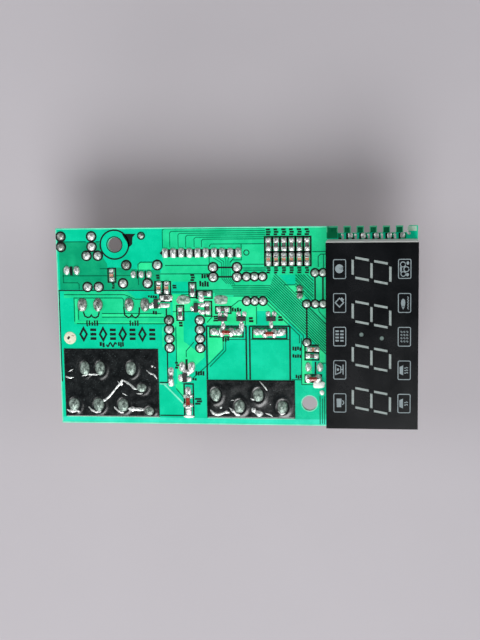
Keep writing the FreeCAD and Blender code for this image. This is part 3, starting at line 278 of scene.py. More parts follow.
MASK = masked("mask_over_board", (0, 196, 148), (2, 216, 168))
MASK_COPPER = masked("mask_over_copper", (18, 200, 134), (38, 222, 156))
MASK_BRIGHT = masked("mask_over_bright_copper", (34, 222, 142), (54, 242, 164))
# Dark lacquer in the gaps between copper: partly painted shade of the etched copper edges.
MASK_GAP = masked("mask_in_gap", (0, 92, 62), (2, 116, 80))
# Darker lacquer over copper for painted shade: the display's shadow and a shadowy patch at the upper left.
MASK_SHADE = masked("mask_over_heavy_copper", (4, 148, 104), (14, 178, 124))
# Dark lacquer on the tabs by the display: lacquer over copper, partly painted shade of the display.
MASK_TAB = masked("mask_on_tabs", (2, 92, 56), (8, 132, 84))
# Pale rims on the tabs' cut edges: partly bare laminate, partly painted highlight of the edges catching
# light.
MASK_TAB_RIM = masked("mask_tab_rim", (60, 190, 136), (112, 220, 172))
# Lighter lacquer for a painted sheen along the board's lower edge.
MASK_PAINTED_SHEEN = masked("mask_over_strip", (34, 214, 176), (58, 232, 198))
MASK_RIM = masked("mask_rim", (96, 226, 186), (150, 246, 214))
LEGEND = surface("legend_ink", (1, 10, 8), (3, 20, 15), rough=(0.5, 0.66), depth=0.012,
                 specks=((10, 70, 50), 2400), Specular_IOR_Level=0.2)
BOARD_EDGE = surface("board_edge", (150, 196, 170), (206, 236, 214), rough=(0.6, 0.8), grain=3000,
                     depth=0.03, lines=(("Z", 0.2),), line_depth=0.012, line_dark=0.2)
BOARD_UNDER = surface("board_underside", (176, 138, 84), (206, 170, 112), rough=(0.4, 0.6), patch=120,
                      depth=0.012, lines=(("X", 0.6), ("Y", 0.6)), line_depth=0.004, line_dark=0.06)
LEGEND_UNDER = surface("underside_ink", (224, 222, 208), (244, 242, 232), rough=(0.5, 0.65), depth=0.01)

SOLDER = surface("solder_joint", (146, 162, 156), (255, 255, 254), rough=(0.24, 0.44), metal=0.66,
                 patch=1500, grain=3600, depth=0.06)
SOLDER_DULL = surface("solder_joint_dull", (104, 112, 106), (190, 196, 190), rough=(0.3, 0.5), metal=0.9,
                      patch=1500, grain=3800, depth=0.07)
SOLDER_COVERED = surface("solder_under_film", (62, 76, 70), (176, 194, 184), rough=(0.34, 0.52), metal=0.7,
                         patch=1700, grain=3400, depth=0.08)
FLUXED = surface("fluxed_pad", (62, 104, 84), (192, 216, 202), rough=(0.3, 0.5), metal=0.3, patch=1100,
                 grain=3600, depth=0.05)
TINNED = surface("tinned_lead", (176, 176, 172), (226, 226, 222), rough=(0.2, 0.36), metal=1.0, patch=700,
                 grain=4200, depth=0.008)
BRASS = surface("contact_brass", (176, 138, 66), (214, 178, 96), rough=(0.22, 0.38), metal=1.0, depth=0.006)
COPPER_WIRE = surface("enamelled_winding", (134, 52, 22), (190, 92, 44), rough=(0.22, 0.36), metal=0.85,
                      patch=500, lines=(("Z", 0.34),), line_depth=0.09, line_dark=0.7, Coat_Weight=0.6)
LAMINATED = surface("core_laminations", (96, 98, 102), (142, 144, 148), rough=(0.36, 0.54), metal=0.55,
                    patch=220, lines=(("Y", 0.5),), line_depth=0.06, line_dark=0.6,
                    specks=((112, 66, 40), 420))
IRON = surface("soft_iron_plate", (132, 134, 138), (176, 178, 182), rough=(0.26, 0.42), metal=1.0,
               depth=0.012)
SHEET = surface("black_sheet_film", (9, 12, 13), (22, 27, 28), rough=(0.16, 0.3), patch=420, grain=1500,
                depth=0.01, specks=((64, 74, 74), 2600), Coat_Weight=0.3, Coat_Roughness=0.08)
MOULDED = surface("black_moulding_matt", (16, 16, 18), (34, 34, 37), rough=(0.42, 0.6), patch=400,
                  grain=6500, depth=0.02)
FILM = surface("display_film", (10, 12, 14), (15, 17, 20), rough=(0.16, 0.3), patch=90, grain=2200,
               depth=0.002, Specular_IOR_Level=0.2)
PRINT = surface("film_print", (116, 130, 134), (142, 155, 159), rough=(0.4, 0.55), depth=0.006)
WHITE = surface("white_case", (206, 210, 206), (214, 218, 214), rough=(0.36, 0.5), patch=60, grain=5200,
                depth=0.012, Specular_IOR_Level=0.4)
DIFFUSER, DIM_DIFFUSER = (
    surface(name, dark, light, rough=(0.4, 0.58), patch=900, grain=5600, depth=0.02, Specular_IOR_Level=0.4)
    for name, dark, light in (("segment_diffuser", (132, 144, 142), (154, 166, 163)),
                              ("dim_diffuser", (84, 102, 98), (104, 122, 118))))
CERAMIC = surface("chip_ceramic", (158, 96, 72), (204, 150, 120), rough=(0.4, 0.55), patch=900, depth=0.02)
ALUMINA = surface("chip_resistor_film", (54, 52, 52), (112, 108, 106), rough=(0.24, 0.4), patch=1500,
                  depth=0.02)
LACQUER = surface("resistor_lacquer", (186, 160, 116), (212, 190, 146), rough=(0.3, 0.44), patch=500,
                  depth=0.03, Coat_Weight=0.4)
GLASS = surface("red_diode_glass", (150, 36, 30), (204, 78, 62), rough=(0.06, 0.14), patch=1400,
                depth=0.004, Transmission_Weight=0.35, Coat_Weight=0.8, Coat_Roughness=0.05)
EPOXY = surface("blue_dip", (16, 62, 140), (30, 92, 176), rough=(0.2, 0.36), patch=300, grain=900,
                depth=0.05, Coat_Weight=0.5)
SLEEVE = surface("capacitor_sleeve", (22, 24, 34), (34, 38, 52), rough=(0.24, 0.36), patch=250, grain=1600,
                 depth=0.012, Coat_Weight=0.3)
ALUMINIUM = surface("can_top", (166, 168, 172), (206, 208, 212), rough=(0.26, 0.4), metal=1.0, patch=500,
                    grain=3600, depth=0.012)
RUBBER = surface("bung_rubber", (22, 21, 20), (38, 36, 34), rough=(0.6, 0.8), grain=2600, depth=0.04)
SMOKE = surface("relay_cover_plastic", (58, 66, 74), (74, 82, 90), rough=(0.12, 0.24), patch=140,
                grain=4200, depth=0.006, Coat_Weight=0.4, Coat_Roughness=0.08, Alpha=0.3)
TAPE = surface("core_tape", (206, 168, 40), (232, 200, 70), rough=(0.24, 0.36), patch=180, grain=1400,
               depth=0.03, lines=(("Z", 4.1),), line_depth=0.12, line_dark=0.25, Coat_Weight=0.5)
NYLON = surface("cream_connector", (214, 202, 172), (238, 230, 206), rough=(0.34, 0.5), patch=200,
                grain=4800, depth=0.012, Subsurface_Weight=0.1, Subsurface_Scale=0.0008)
LIGHT_CHIP = surface("light_chip_resin", (220, 206, 120), (244, 232, 160), rough=(0.3, 0.44), patch=1400)
STICKER = surface("pale_dot_ink", (206, 208, 180), (232, 230, 208), rough=(0.5, 0.66), patch=900,
                  grain=2600, depth=0.04, specks=((150, 134, 112), 1500))
PAPER = surface("floor_paper", (176, 172, 177), (181, 177, 182), rough=(0.75, 0.85), patch=6, grain=900,
                depth=0.02)
CEMENT = surface("power_resistor_cement", (96, 132, 120), (126, 160, 146), rough=(0.5, 0.66), depth=0.05)
THIN_WIRE = surface("enamelled_wire", (150, 62, 26), (196, 98, 46), rough=(0.2, 0.34), metal=0.85,
                    patch=900, Coat_Weight=0.6)
PASTE = surface("white_fixing_paste", (242, 247, 242), (252, 254, 250), rough=(0.3, 0.5), patch=900,
                grain=1600, depth=0.06)
BAND_RED, BAND_BROWN, BAND_BLACK = (
    surface(name, dark, light, rough=(0.3, 0.45), patch=900)
    for name, dark, light in (("band_red", (140, 26, 20), (168, 40, 30)),
                              ("band_brown", (66, 34, 18), (88, 48, 26)),
                              ("band_black", (18, 17, 17), (34, 32, 32))))
BAND_GOLD = surface("band_gold", (150, 114, 40), (182, 144, 62), rough=(0.28, 0.4), metal=0.7, patch=900)
BAND_SILVER = surface("band_silver", (176, 178, 180), (210, 212, 214), rough=(0.3, 0.42), metal=0.6,
                      patch=900)

LOOKS = {
    "circuit_board": MASK, "solder": SOLDER, "tinned_metal": TINNED, "brass": BRASS,
    "copper_winding": COPPER_WIRE, "laminated_steel": LAMINATED, "soft_iron": IRON, "black_sheet": SHEET,
    "black_moulding": MOULDED, "dark_film": FILM, "white_moulding": WHITE, "diffuser": DIFFUSER,
    "pale_ceramic": CERAMIC, "lacquered_resistor": LACQUER, "red_glass": GLASS, "blue_epoxy": EPOXY,
    "aluminium_sleeve": SLEEVE, "rubber_seal": RUBBER, "smoke_cover": SMOKE, "yellow_tape": TAPE,
    "cream_nylon": NYLON, "light_chip": LIGHT_CHIP, "pale_sticker": STICKER,
}
slot_of = {name: node.data.materials[0].name for name, node in frame["nodes"].items()}
for name, node in frame["nodes"].items():
    node.data.materials[0] = LOOKS[slot_of[name]]


# ---- solids ----------------------------------------------------------------------------------------

BLOB_SIDES = 26


class Shape:
    """Closed solids, given in board millimetres and gathered into one mesh."""

    def __init__(self):
        self.mesh = bmesh.new()

    def vertex(self, x, y, h):
        x = min(max(x, MARGIN), BOARD_WIDE - MARGIN)
        y = min(max(y, MARGIN), BOARD_TALL - MARGIN)
        return self.mesh.verts.new(at(x, y, h))

    def face(self, vertices, paint=0, smooth=False):
        made = self.mesh.faces.new(vertices)
        made.material_index = paint
        made.smooth = smooth

    def prism(self, outline, low, high):
        bottom = [self.vertex(x, y, low) for x, y in outline]
        top = [self.vertex(x, y, high) for x, y in outline]
        self.face(bottom[::-1])
        self.face(top)
        for i, v in enumerate(bottom):
            j = (i + 1) % len(bottom)
            self.face((v, bottom[j], top[j], top[i]))

    def block(self, x0, y0, x1, y1, low, high):
        self.prism(corners_of(x0, y0, x1, y1), low, high)

    def ribbon(self, points, width, low, high, closed=False):
        """A flat strip along a line, with mitred corners."""
        points = [Vector((p[0], p[1])) for p in points]
        count = len(points)
        rows = []
        for i, p in enumerate(points):
            before = points[i - 1] if closed or i > 0 else None
            after = points[(i + 1) % count] if closed or i < count - 1 else None
            first = (p - before).normalized() if before is not None else (after - p).normalized()
            second = (after - p).normalized() if after is not None else first
            across = first + second
            if across.length < 0.05:
                across = first.copy()
            across.normalize()
            side = Vector((across.y, -across.x))
            reach = width / 2 / max(0.4, side.dot(Vector((first.y, -first.x))))
            left, right = p + side * reach, p - side * reach
            rows.append([self.vertex(left.x, left.y, low), self.vertex(left.x, left.y, high),
                         self.vertex(right.x, right.y, high), self.vertex(right.x, right.y, low)])
        last = count if closed else count - 1
        for i in range(last):
            a, b = rows[i], rows[(i + 1) % count]
            for k in range(4):
                self.face((a[k], a[(k + 1) % 4], b[(k + 1) % 4], b[k]))
        if not closed:
            self.face(rows[0])
            self.face(rows[-1][::-1])

    def rings(self, loops, paint=0):
        """A closed skin through loops of points, each loop with the same count."""
        rows = [[self.vertex(*p) for p in loop] for loop in loops]
        count = len(rows[0])
        for a, b in zip(rows, rows[1:]):
            for i in range(count):
                j = (i + 1) % count
                self.face((a[i], a[j], b[j], b[i]), paint, smooth=True)
        self.face(rows[0][::-1], paint, smooth=True)
        self.face(rows[-1], paint, smooth=True)

    def blob(self, x, y, half_x, half_y, height, seed, lean=0.18, nub=True, rough=1.0, base=0.0, square=2.0):
        """A solder joint: a full slope up from an uneven edge, with the lead's end standing in it."""
        profile = ((1.0, 0.0), (1.02, 0.1), (0.98, 0.28), (0.9, 0.46), (0.78, 0.6), (0.63, 0.71),
                   (0.47, 0.79))
        if nub:
            profile += ((0.34, 0.86), (0.29, 1.0), (0.24, 1.1), (0.1, 1.12))
        else:
            profile += ((0.3, 0.84), (0.1, 0.87))
        chance = random.Random(seed)
        dx, dy = chance.uniform(-lean, lean) * half_x, chance.uniform(-lean, lean) * half_y
        loops = []
        for r, h in profile:
            loop = []
            for i in range(BLOB_SIDES):
                a = math.tau * i / BLOB_SIDES
                u, v = math.cos(a), math.sin(a)
                bulge = (abs(u) ** square + abs(v) ** square) ** (-1 / square)
                u, v = u * bulge, v * bulge
                wave = noise.noise(Vector((u * 1.3 + seed, v * 1.3, h * 1.7))) * 0.16 * rough
                swell = r * (1 + wave * (0.5 + 0.5 * h))
                rise = h + rough * h * (1.2 - h) * (
                    0.24 * noise.noise(Vector((u * r * 2.2, v * r * 2.2 + seed, 7.0)))
                    + 0.16 * noise.noise(Vector((u * r * 5.0, v * r * 5.0 + seed, 3.0))))
                loop.append((x + dx * h + half_x * swell * u, y + dy * h + half_y * swell * v,
                             base + height * max(rise, 0.0)))
            loops.append(loop)
        self.rings(loops)

    def lathe(self, x, y, h, profile, axis="z", count=32, paint=0):
        """A turned solid: profile is pairs of place along the axis and radius, both in millimetres."""
        loops = []
        for along, radius in profile:
            loop = []
            for i in range(count):
                a = math.tau * i / count
                u, v = radius * math.cos(a), radius * math.sin(a)
                loop.append({"z": (x + u, y + v, h + along), "x": (x + along, y + u, h + v),
                             "y": (x + u, y + along, h + v)}[axis])
            loops.append(loop)
        self.rings(loops, paint)

    def tube(self, points, radius, count=10):
        """A round wire along a line of points."""
        points = [Vector(p) for p in points]
        loops = []
        for i, p in enumerate(points):
            ahead = (points[min(i + 1, len(points) - 1)] - points[max(i - 1, 0)]).normalized()
            side = ahead.cross(Vector((0.31, 0.17, 0.93))).normalized()
            up = side.cross(ahead)
            turns = [math.tau * k / count for k in range(count)]
            loops.append([tuple(p + radius * (math.cos(a) * side + math.sin(a) * up)) for a in turns])
        self.rings(loops)

    def piece(self, name, paints, slot, replaces=None, bevel=0.0):
        """The finished object, riding on the board."""
        bmesh.ops.recalc_face_normals(self.mesh, faces=self.mesh.faces)
        data = mesh_data(name, self.mesh)
        for paint in paints:
            data.materials.append(paint)
        made = new_object(name, data)
        if bevel:
            add_bevel(made, bevel)
        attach(made, ROOT)
        if replaces:
            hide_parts(replaces)


def add_bevel(piece, width):
    """Rounded edges, with the width in millimetres."""
    for polygon in piece.data.polygons:
        polygon.use_smooth = True
    made = piece.modifiers.new("rounded edges", "BEVEL")
    made.width = width * MM
    made.segments = 2
    made.limit_method = "ANGLE"
    made.angle_limit = math.radians(32)
    made.harden_normals = True


def corners_of(x0, y0, x1, y1):
    return (x0, y0), (x1, y0), (x1, y1), (x0, y1)


def circle(x, y, radius_x, radius_y, count=32, start=0.0, turn=math.tau):
    """Points on a circle or an ellipse, or on an arc of it with both its ends."""
    steps = count if turn == math.tau else count + 1
    angles = [start + turn * i / count for i in range(steps)]
    return [(x + radius_x * math.cos(a), y + radius_y * math.sin(a)) for a in angles]


def refined(node, width):
    """Stands for a CAD node with the same shape, cleaned and with its edges rounded."""
    source = frame["nodes"][node]
    mesh = bmesh.new()
    mesh.from_mesh(source.data)
    bmesh.ops.remove_doubles(mesh, verts=mesh.verts, dist=1e-6)
    bmesh.ops.dissolve_limit(mesh, angle_limit=math.radians(0.6), verts=mesh.verts, edges=mesh.edges)
    data = mesh_data(node + "_finished", mesh)
    if "custom_normal" in data.attributes:
        data.attributes.remove(data.attributes["custom_normal"])
    data.materials.append(LOOKS[slot_of[node]])
    made = new_object(node + "_finished", data)
    add_bevel(made, width)
    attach(made, source["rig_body"])
    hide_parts(node)
    return made


# ---- circuit board: lacquer over its copper side, bare laminate edges and underside -----------------

board = frame["nodes"]["circuit_board"]
board.data.materials.append(BOARD_EDGE)
board.data.materials.append(BOARD_UNDER)
for polygon in board.data.polygons:
    if abs(polygon.normal.z) < 0.5:
        polygon.material_index = 1
    elif polygon.normal.z < 0:
        polygon.material_index = 2

# Heights over the bare board. Areas of one kind step down a little in turn, so that none share a plane.
BASE, COPPER_TOP, BRIGHT_TOP, GAP_TOP, RIM_TOP, INK_TOP = 0.0, 0.03, 0.036, 0.044, 0.05, 0.058
TAB_TOP = 0.04
COPPER_STEP, BRIGHT_STEP, SHADED_DROP = 0.0008, 0.0003, 0.008

COPPER_AREAS = (
    ((33.9, 0.35), (84.6, 0.35), (84.6, 13.5), (80, 13.2), (79.6, 14.8), (66.5, 14.8), (66, 17),
     (66.3, 21.3), (44.5, 21.3), (44.2, 19), (42, 19.5), (42, 16.8), (36.8, 16.8), (36.5, 19.2),
     (32.8, 19.2), (33, 14.3), (33.9, 11.7)),
    ((66, 14.5), (67.8, 13.6), (70.2, 15.2), (73.2, 18.2), (75.2, 20.2), (78.3, 23.3), (84.6, 29.8),
     (84.6, 39.5), (81.5, 36.5), (78.5, 33.8), (77, 32.8), (73.2, 29.3), (66.2, 22.5), (66, 17)),
    ((75, 14.6), (80.2, 14.6), (80.4, 23), (77.8, 21.2), (75, 18.8)),
    ((2, 19.8), (22.4, 19.8), (25, 22), (33, 22), (36.2, 21), (36.2, 30.2), (5, 30.2), (5, 21.9),
     (2, 21.9)),
    ((80.4, 16), (82.4, 14.9), (84.6, 15.6), (84.6, 22.6), (80.4, 22.4)),
    ((79.2, 25), (84.6, 25), (84.6, 29.6)),
)
# Copper areas drawn darker than the rest: painted shade over lacquered copper, such as the display's shadow
# at the right edge and a shadowy patch at the upper left.
SHADED_AREAS = (
    ((0.9, 4.3), (13.8, 4.3), (14.4, 8.5), (16.2, 11.2), (16.2, 12.4), (21, 12.4), (24, 12.8), (33, 13.2),
     (33, 19.2), (0.9, 19.2)),
    ((79.7, 0.5), (84.6, 0.5), (84.6, 12.9), (79.9, 12.6)),
    ((54.6, 16.8), (66.2, 16.8), (66.2, 21.1), (55.6, 18.7)),
)
BRIGHT_AREAS = (
    ((36.6, 20.7), (41.6, 20.7), (44.4, 21.5), (66.3, 21.5), (66.5, 22.9), (72.6, 28.9), (72.8, 30.3),
     (66.4, 30.3), (66.4, 26), (63, 26), (63, 30.3), (47.2, 30.3), (45.6, 27.2), (43.6, 26.1), (41.9, 25.8),
     (39.9, 26.4), (39.9, 35.6), (43.6, 38.3), (46.4, 38.9), (46.4, 40.6), (41.6, 44.8), (39.4, 42.4),
     (37.5, 42), (37.5, 31.3), (36.6, 30.4)),
    ((47.6, 31.1), (58.4, 31.1), (58.4, 34.4), (53, 34.6), (52.3, 37.7), (47.6, 42.4)),
    ((61.3, 31.1), (66.2, 31.1), (66.2, 34.4), (61.3, 34.4)),
    ((36.9, 49.2), (39.4, 49.2), (39.4, 53), (37.1, 50.9)),
    ((37.6, 42), (39.5, 42.4), (40.4, 44), (38.9, 45.6), (38.9, 49.1), (37.6, 49.1)),
    ((77.1, 34.6), (79.9, 34.6), (79.9, 48.8), (76.7, 48.8)),
    ((82.2, 37.6), (84, 39.2), (84, 42), (82.3, 42)),
    ((33.2, 31), (33.5, 31), (33.5, 37.4), (33.2, 37.4)),
    ((35.9, 30.6), (37.2, 30.9), (37.2, 37.8), (36.2, 38.9), (35.9, 38.2)),
    ((26.1, 10.9), (30.3, 10.9), (30.3, 13), (25.6, 13)),
    ((5.4, 22.3), (6.1, 22.3), (6.1, 29.4), (34, 29.4), (34, 29.8), (5.4, 29.8)),
    ((14, 27), (33.8, 27), (33.8, 27.8), (14, 27.8)),
    ((71.5, 18), (75.2, 18), (77.8, 20.6), (77.8, 22.6), (76.2, 22.6), (72.5, 19.1)),
    # The strip along the lower edge is a painted sheen, drawn lighter than the copper.
    ((0.5, 59.95), (84.4, 59.95), (84.4, 61.5), (0.5, 61.5)),
)
GAPS = (
    ((34.5, 11.75), (48, 11.75)), ((33, 14.4), (48.4, 14.4)), ((48.4, 9.3), (48.4, 11.2)),
    ((58.6, 11.5), (66, 11.5)), ((58.6, 12.65), (66, 12.65)), ((59, 13.3), (66, 13.3)),
    ((60, 14.2), (66, 14.2)), ((55, 10.9), (55.6, 10.15), (58.4, 10.15), (58.4, 5.3)),
    ((1.8, 14.9), (16.6, 14.9)), ((18.8, 14.9), (23.5, 14.9)), ((13.8, 12.7), (16.6, 12.7)),
    ((2, 17.1), (6.6, 17.1), (7, 17.6), (7, 19.2)), ((2, 12.5), (2, 17.1)),
    ((2, 20.85), (21.4, 20.85), (22.6, 21.3), (24.8, 22.3), (28.4, 22.3)),
    ((5.2, 29.4), (5.2, 21.9), (20.6, 21.9), (21.1, 22.4), (21.1, 26)), ((6.5, 28.8), (6.5, 23.4)),
    ((14, 26.8), (33, 26.8)), ((14, 27.95), (33.8, 27.95)), ((5.8, 30.05), (34, 30.05)),
    ((26, 17.8), (26, 11.4), (26.8, 10.7), (30.9, 10.7)), ((83.6, 8.5), (83.6, 13)),
    ((80.2, 7.7), (84.5, 7.7)), ((82, 12.4), (82, 9.2), (82.8, 8.5), (84.5, 8.5)),
    ((82, 24.6), (82.2, 26.2), (84.4, 28.6)), ((79.2, 25.1), (84.4, 30.3)), ((82.35, 52.6), (82.35, 61.5)),
    ((83.1, 53.4), (83.1, 61.3)), ((83.75, 52.6), (83.75, 61.5)), ((61, 34.9), (73, 34.9)),
    ((53.4, 34.9), (59.4, 34.9)), ((82.4, 42.2), (84.2, 42.2)),
    ((52.3, 35.2), (52.3, 38.1), (47.4, 43), (42.8, 47)), ((53.1, 35.6), (53.1, 38.4), (48, 43.6)),
    ((43.1, 35.8), (40.6, 38.6), (40.6, 40.6)), ((37.2, 50.6), (39.5, 53.4)), ((37.5, 30.9), (37.5, 42.2)),
    ((43.9, 35.4), (46.8, 38.2)), ((59, 22.8), (57.4, 22.8), (54.6, 25)), ((62.9, 24.6), (62.9, 30.2)),
    ((59.4, 26.4), (59.4, 30.3)), ((71.4, 17.9), (75, 17.9)), ((44.6, 21.4), (44.6, 19.5)),
    ((32.2, 20.2), (36, 20.2)), ((32.8, 49.4), (34.2, 49.4)), ((38.6, 22), (39.6, 20.9), (42, 20.9)),
    ((36.6, 26.2), (44.6, 26.2)), ((73.6, 47.5), (76.6, 47.5)), ((31.9, 59.2), (39.4, 59.2)),
    ((0.5, 4.25), (9.6, 4.25)), ((12.8, 4.25), (14, 4.25)), ((76.7, 34.4), (76.7, 49)),
    ((76.7, 49), (80.4, 49)), ((9.3, 31), (9.3, 30.5)), ((49.2, 27.6), (47.4, 29.6)),
)


def copper_side():
    copper, shaded, bright, strip = Shape(), Shape(), Shape(), Shape()
    for i, outline in enumerate(COPPER_AREAS):
        copper.prism(outline, BASE, COPPER_TOP - COPPER_STEP * i)
    for i, outline in enumerate(SHADED_AREAS):
        shaded.prism(outline, BASE, COPPER_TOP - SHADED_DROP - COPPER_STEP * i)
    for i, outline in enumerate(BRIGHT_AREAS):
        # The strip along the lower edge gets the lighter lacquer of a painted sheen.
        along_lower_edge = min(y for x, y in outline) > 58.5
        target = strip if along_lower_edge else bright
        target.prism(outline, BASE, BRIGHT_TOP - BRIGHT_STEP * i)
    for i in range(7):
        x = PIN_X + PIN_PITCH * i
        finger = ((x - 0.8, 9.2), (x + 0.8, 9.2), (x + 0.8, 11.3), (x, 11.9), (x - 0.8, 11.3))
        copper.prism(finger, BASE, BRIGHT_TOP)
    copper.piece("copper_areas", [MASK_COPPER], "circuit_board")
    # The darker areas are painted shade.
    shaded.piece("heavy_copper_areas", [MASK_SHADE], "circuit_board")
    bright.piece("bright_copper_areas", [MASK_BRIGHT], "circuit_board")
    strip.piece("pale_strip_of_copper", [MASK_PAINTED_SHEEN], "circuit_board")


def copper_gaps():
    """The gaps in and between the copper areas, such as those that leave the bus of parallel tracks; their
    dark lacquer is partly painted shade of the etched edges.
    """
    gaps = Shape()

    def gap(*points, width=0.28):
        gaps.ribbon(points, width, BASE, GAP_TOP)

    # The bus and its branches run at 45 degrees, so each gap in them has its own x minus y, its offset.
    starts = {44.9: 55.8, 45.74: 50, 46.56: 36.5, 47.4: 44, 48.25: 55.6, 49.1: 55.2}
    for offset in (42.5, 43.7, 44.9, 45.74, 46.56, 47.4, 48.25, 49.1, 49.95, 50.8, 51.65, 52.5, 53.35, 54.25):
        bend_y = {42.5: 23.4, 43.7: 22.4}.get(offset, max(13.3, 66.2 - offset + (offset - 44.9) * 0.25))
        points = [(bend_y + offset, bend_y)]
        if offset in starts:
            points.insert(0, (starts[offset], bend_y))
        if offset < 44:
            end_y = 33.6
            points += [(end_y + offset, end_y), (end_y + offset, end_y + 2.4)]
        else:
            points.append((84.2, 84.2 - offset))
        gap(*points)
    for offset in (56.83, 57.66, 58.65, 59.3, 60.25, 61.1, 61.9, 62.7, 63.8):
        first_x = max(75.0, 14.7 + offset)
        last_x = min(80.5, 22.8 + offset)
        gap((first_x, first_x - offset), (last_x, last_x - offset))
    for i, (x, top) in enumerate(((52.3, 10.2), (52.95, 9.8), (53.6, 9.2), (54.25, 9.2), (54.86, 9.9))):
        fan = ((49.6, 9.4), (51.0, 9.3), (53.2, 9.2), (54.6, 9.2), (56.2, 9.4))[i]
        gap(fan, (x, top + 0.9), (x, 15.9), (x + 1.5, 17.5 + i * 0.1), width=0.2)
    for x, top in ((33.9, 0.4), (36.2, 1.2), (38.8, 1.85), (41.2, 2.45), (43.8, 3.1), (46.1, 3.7),
                   (48.6, 5.2)):
        gap((x, 6.2), (x, top + 0.5), (x + 0.5, top), (65.8, top), width=0.24)
    for points in GAPS:
        gap(*points)
    gaps.piece("copper_gaps", [MASK_GAP], "circuit_board")


def pale_rims():
    """Pale lines along the edges, round a hole and beside the sheets: bare laminate, thin lacquer and painted
    highlight.
    """
    rim = Shape()
    # The edge lines are partly painted edge highlights; the two lines from (32, 49) towards (39, 55) are
    # painted highlights on a track's edge.
    for width, *points in ((0.3, (0.18, 0.2), (85.6, 0.2)), (0.26, (0.18, 0.4), (0.18, 61.6)),
                           (0.32, (0.18, 61.8), (111.8, 61.8)), (0.5, (33.5, 49.4), (39.3, 55.3)),
                           (0.34, (32, 49.1), (34.2, 49.3)), (0.2, (1.6, 60), (31.8, 60)),
                           (0.2, (47, 60.05), (74.6, 60.05))):
        rim.ribbon(points, width, BASE, RIM_TOP)
    rim.ribbon(circle(79.1, 54.9, 2.5, 2.5, 40), 0.26, BASE, RIM_TOP, closed=True)
    rim.piece("pale_rims", [MASK_RIM], "circuit_board")


copper_side()
copper_gaps()
pale_rims()


# ---- printed legend, with a ring of painted shade in a hole ----------------------------------------

def mark(ink, x0, y0, x1, y1):
    """A few short strokes beside a part: a generic block without letters or numbers."""
    chance = random.Random(round(x0 * 131 + y0 * 17))
    wide, tall = x1 - x0, y1 - y0
    cells = max(2, round(max(wide, tall) / 0.75))
    for i in range(cells):
        inset = 0.26 * chance.random()
        start, end = i / cells, (i + 0.76) / cells
        first, last = inset * (i % 2), inset * ((i + 1) % 2)
        if wide >= tall:
            ink.block(x0 + wide * start, y0 + tall * first, x0 + wide * end, y1 - tall * last, BASE, INK_TOP)
        else:
            ink.block(x0 + wide * first, y0 + tall * start, x1 - wide * last, y0 + tall * end, BASE, INK_TOP)


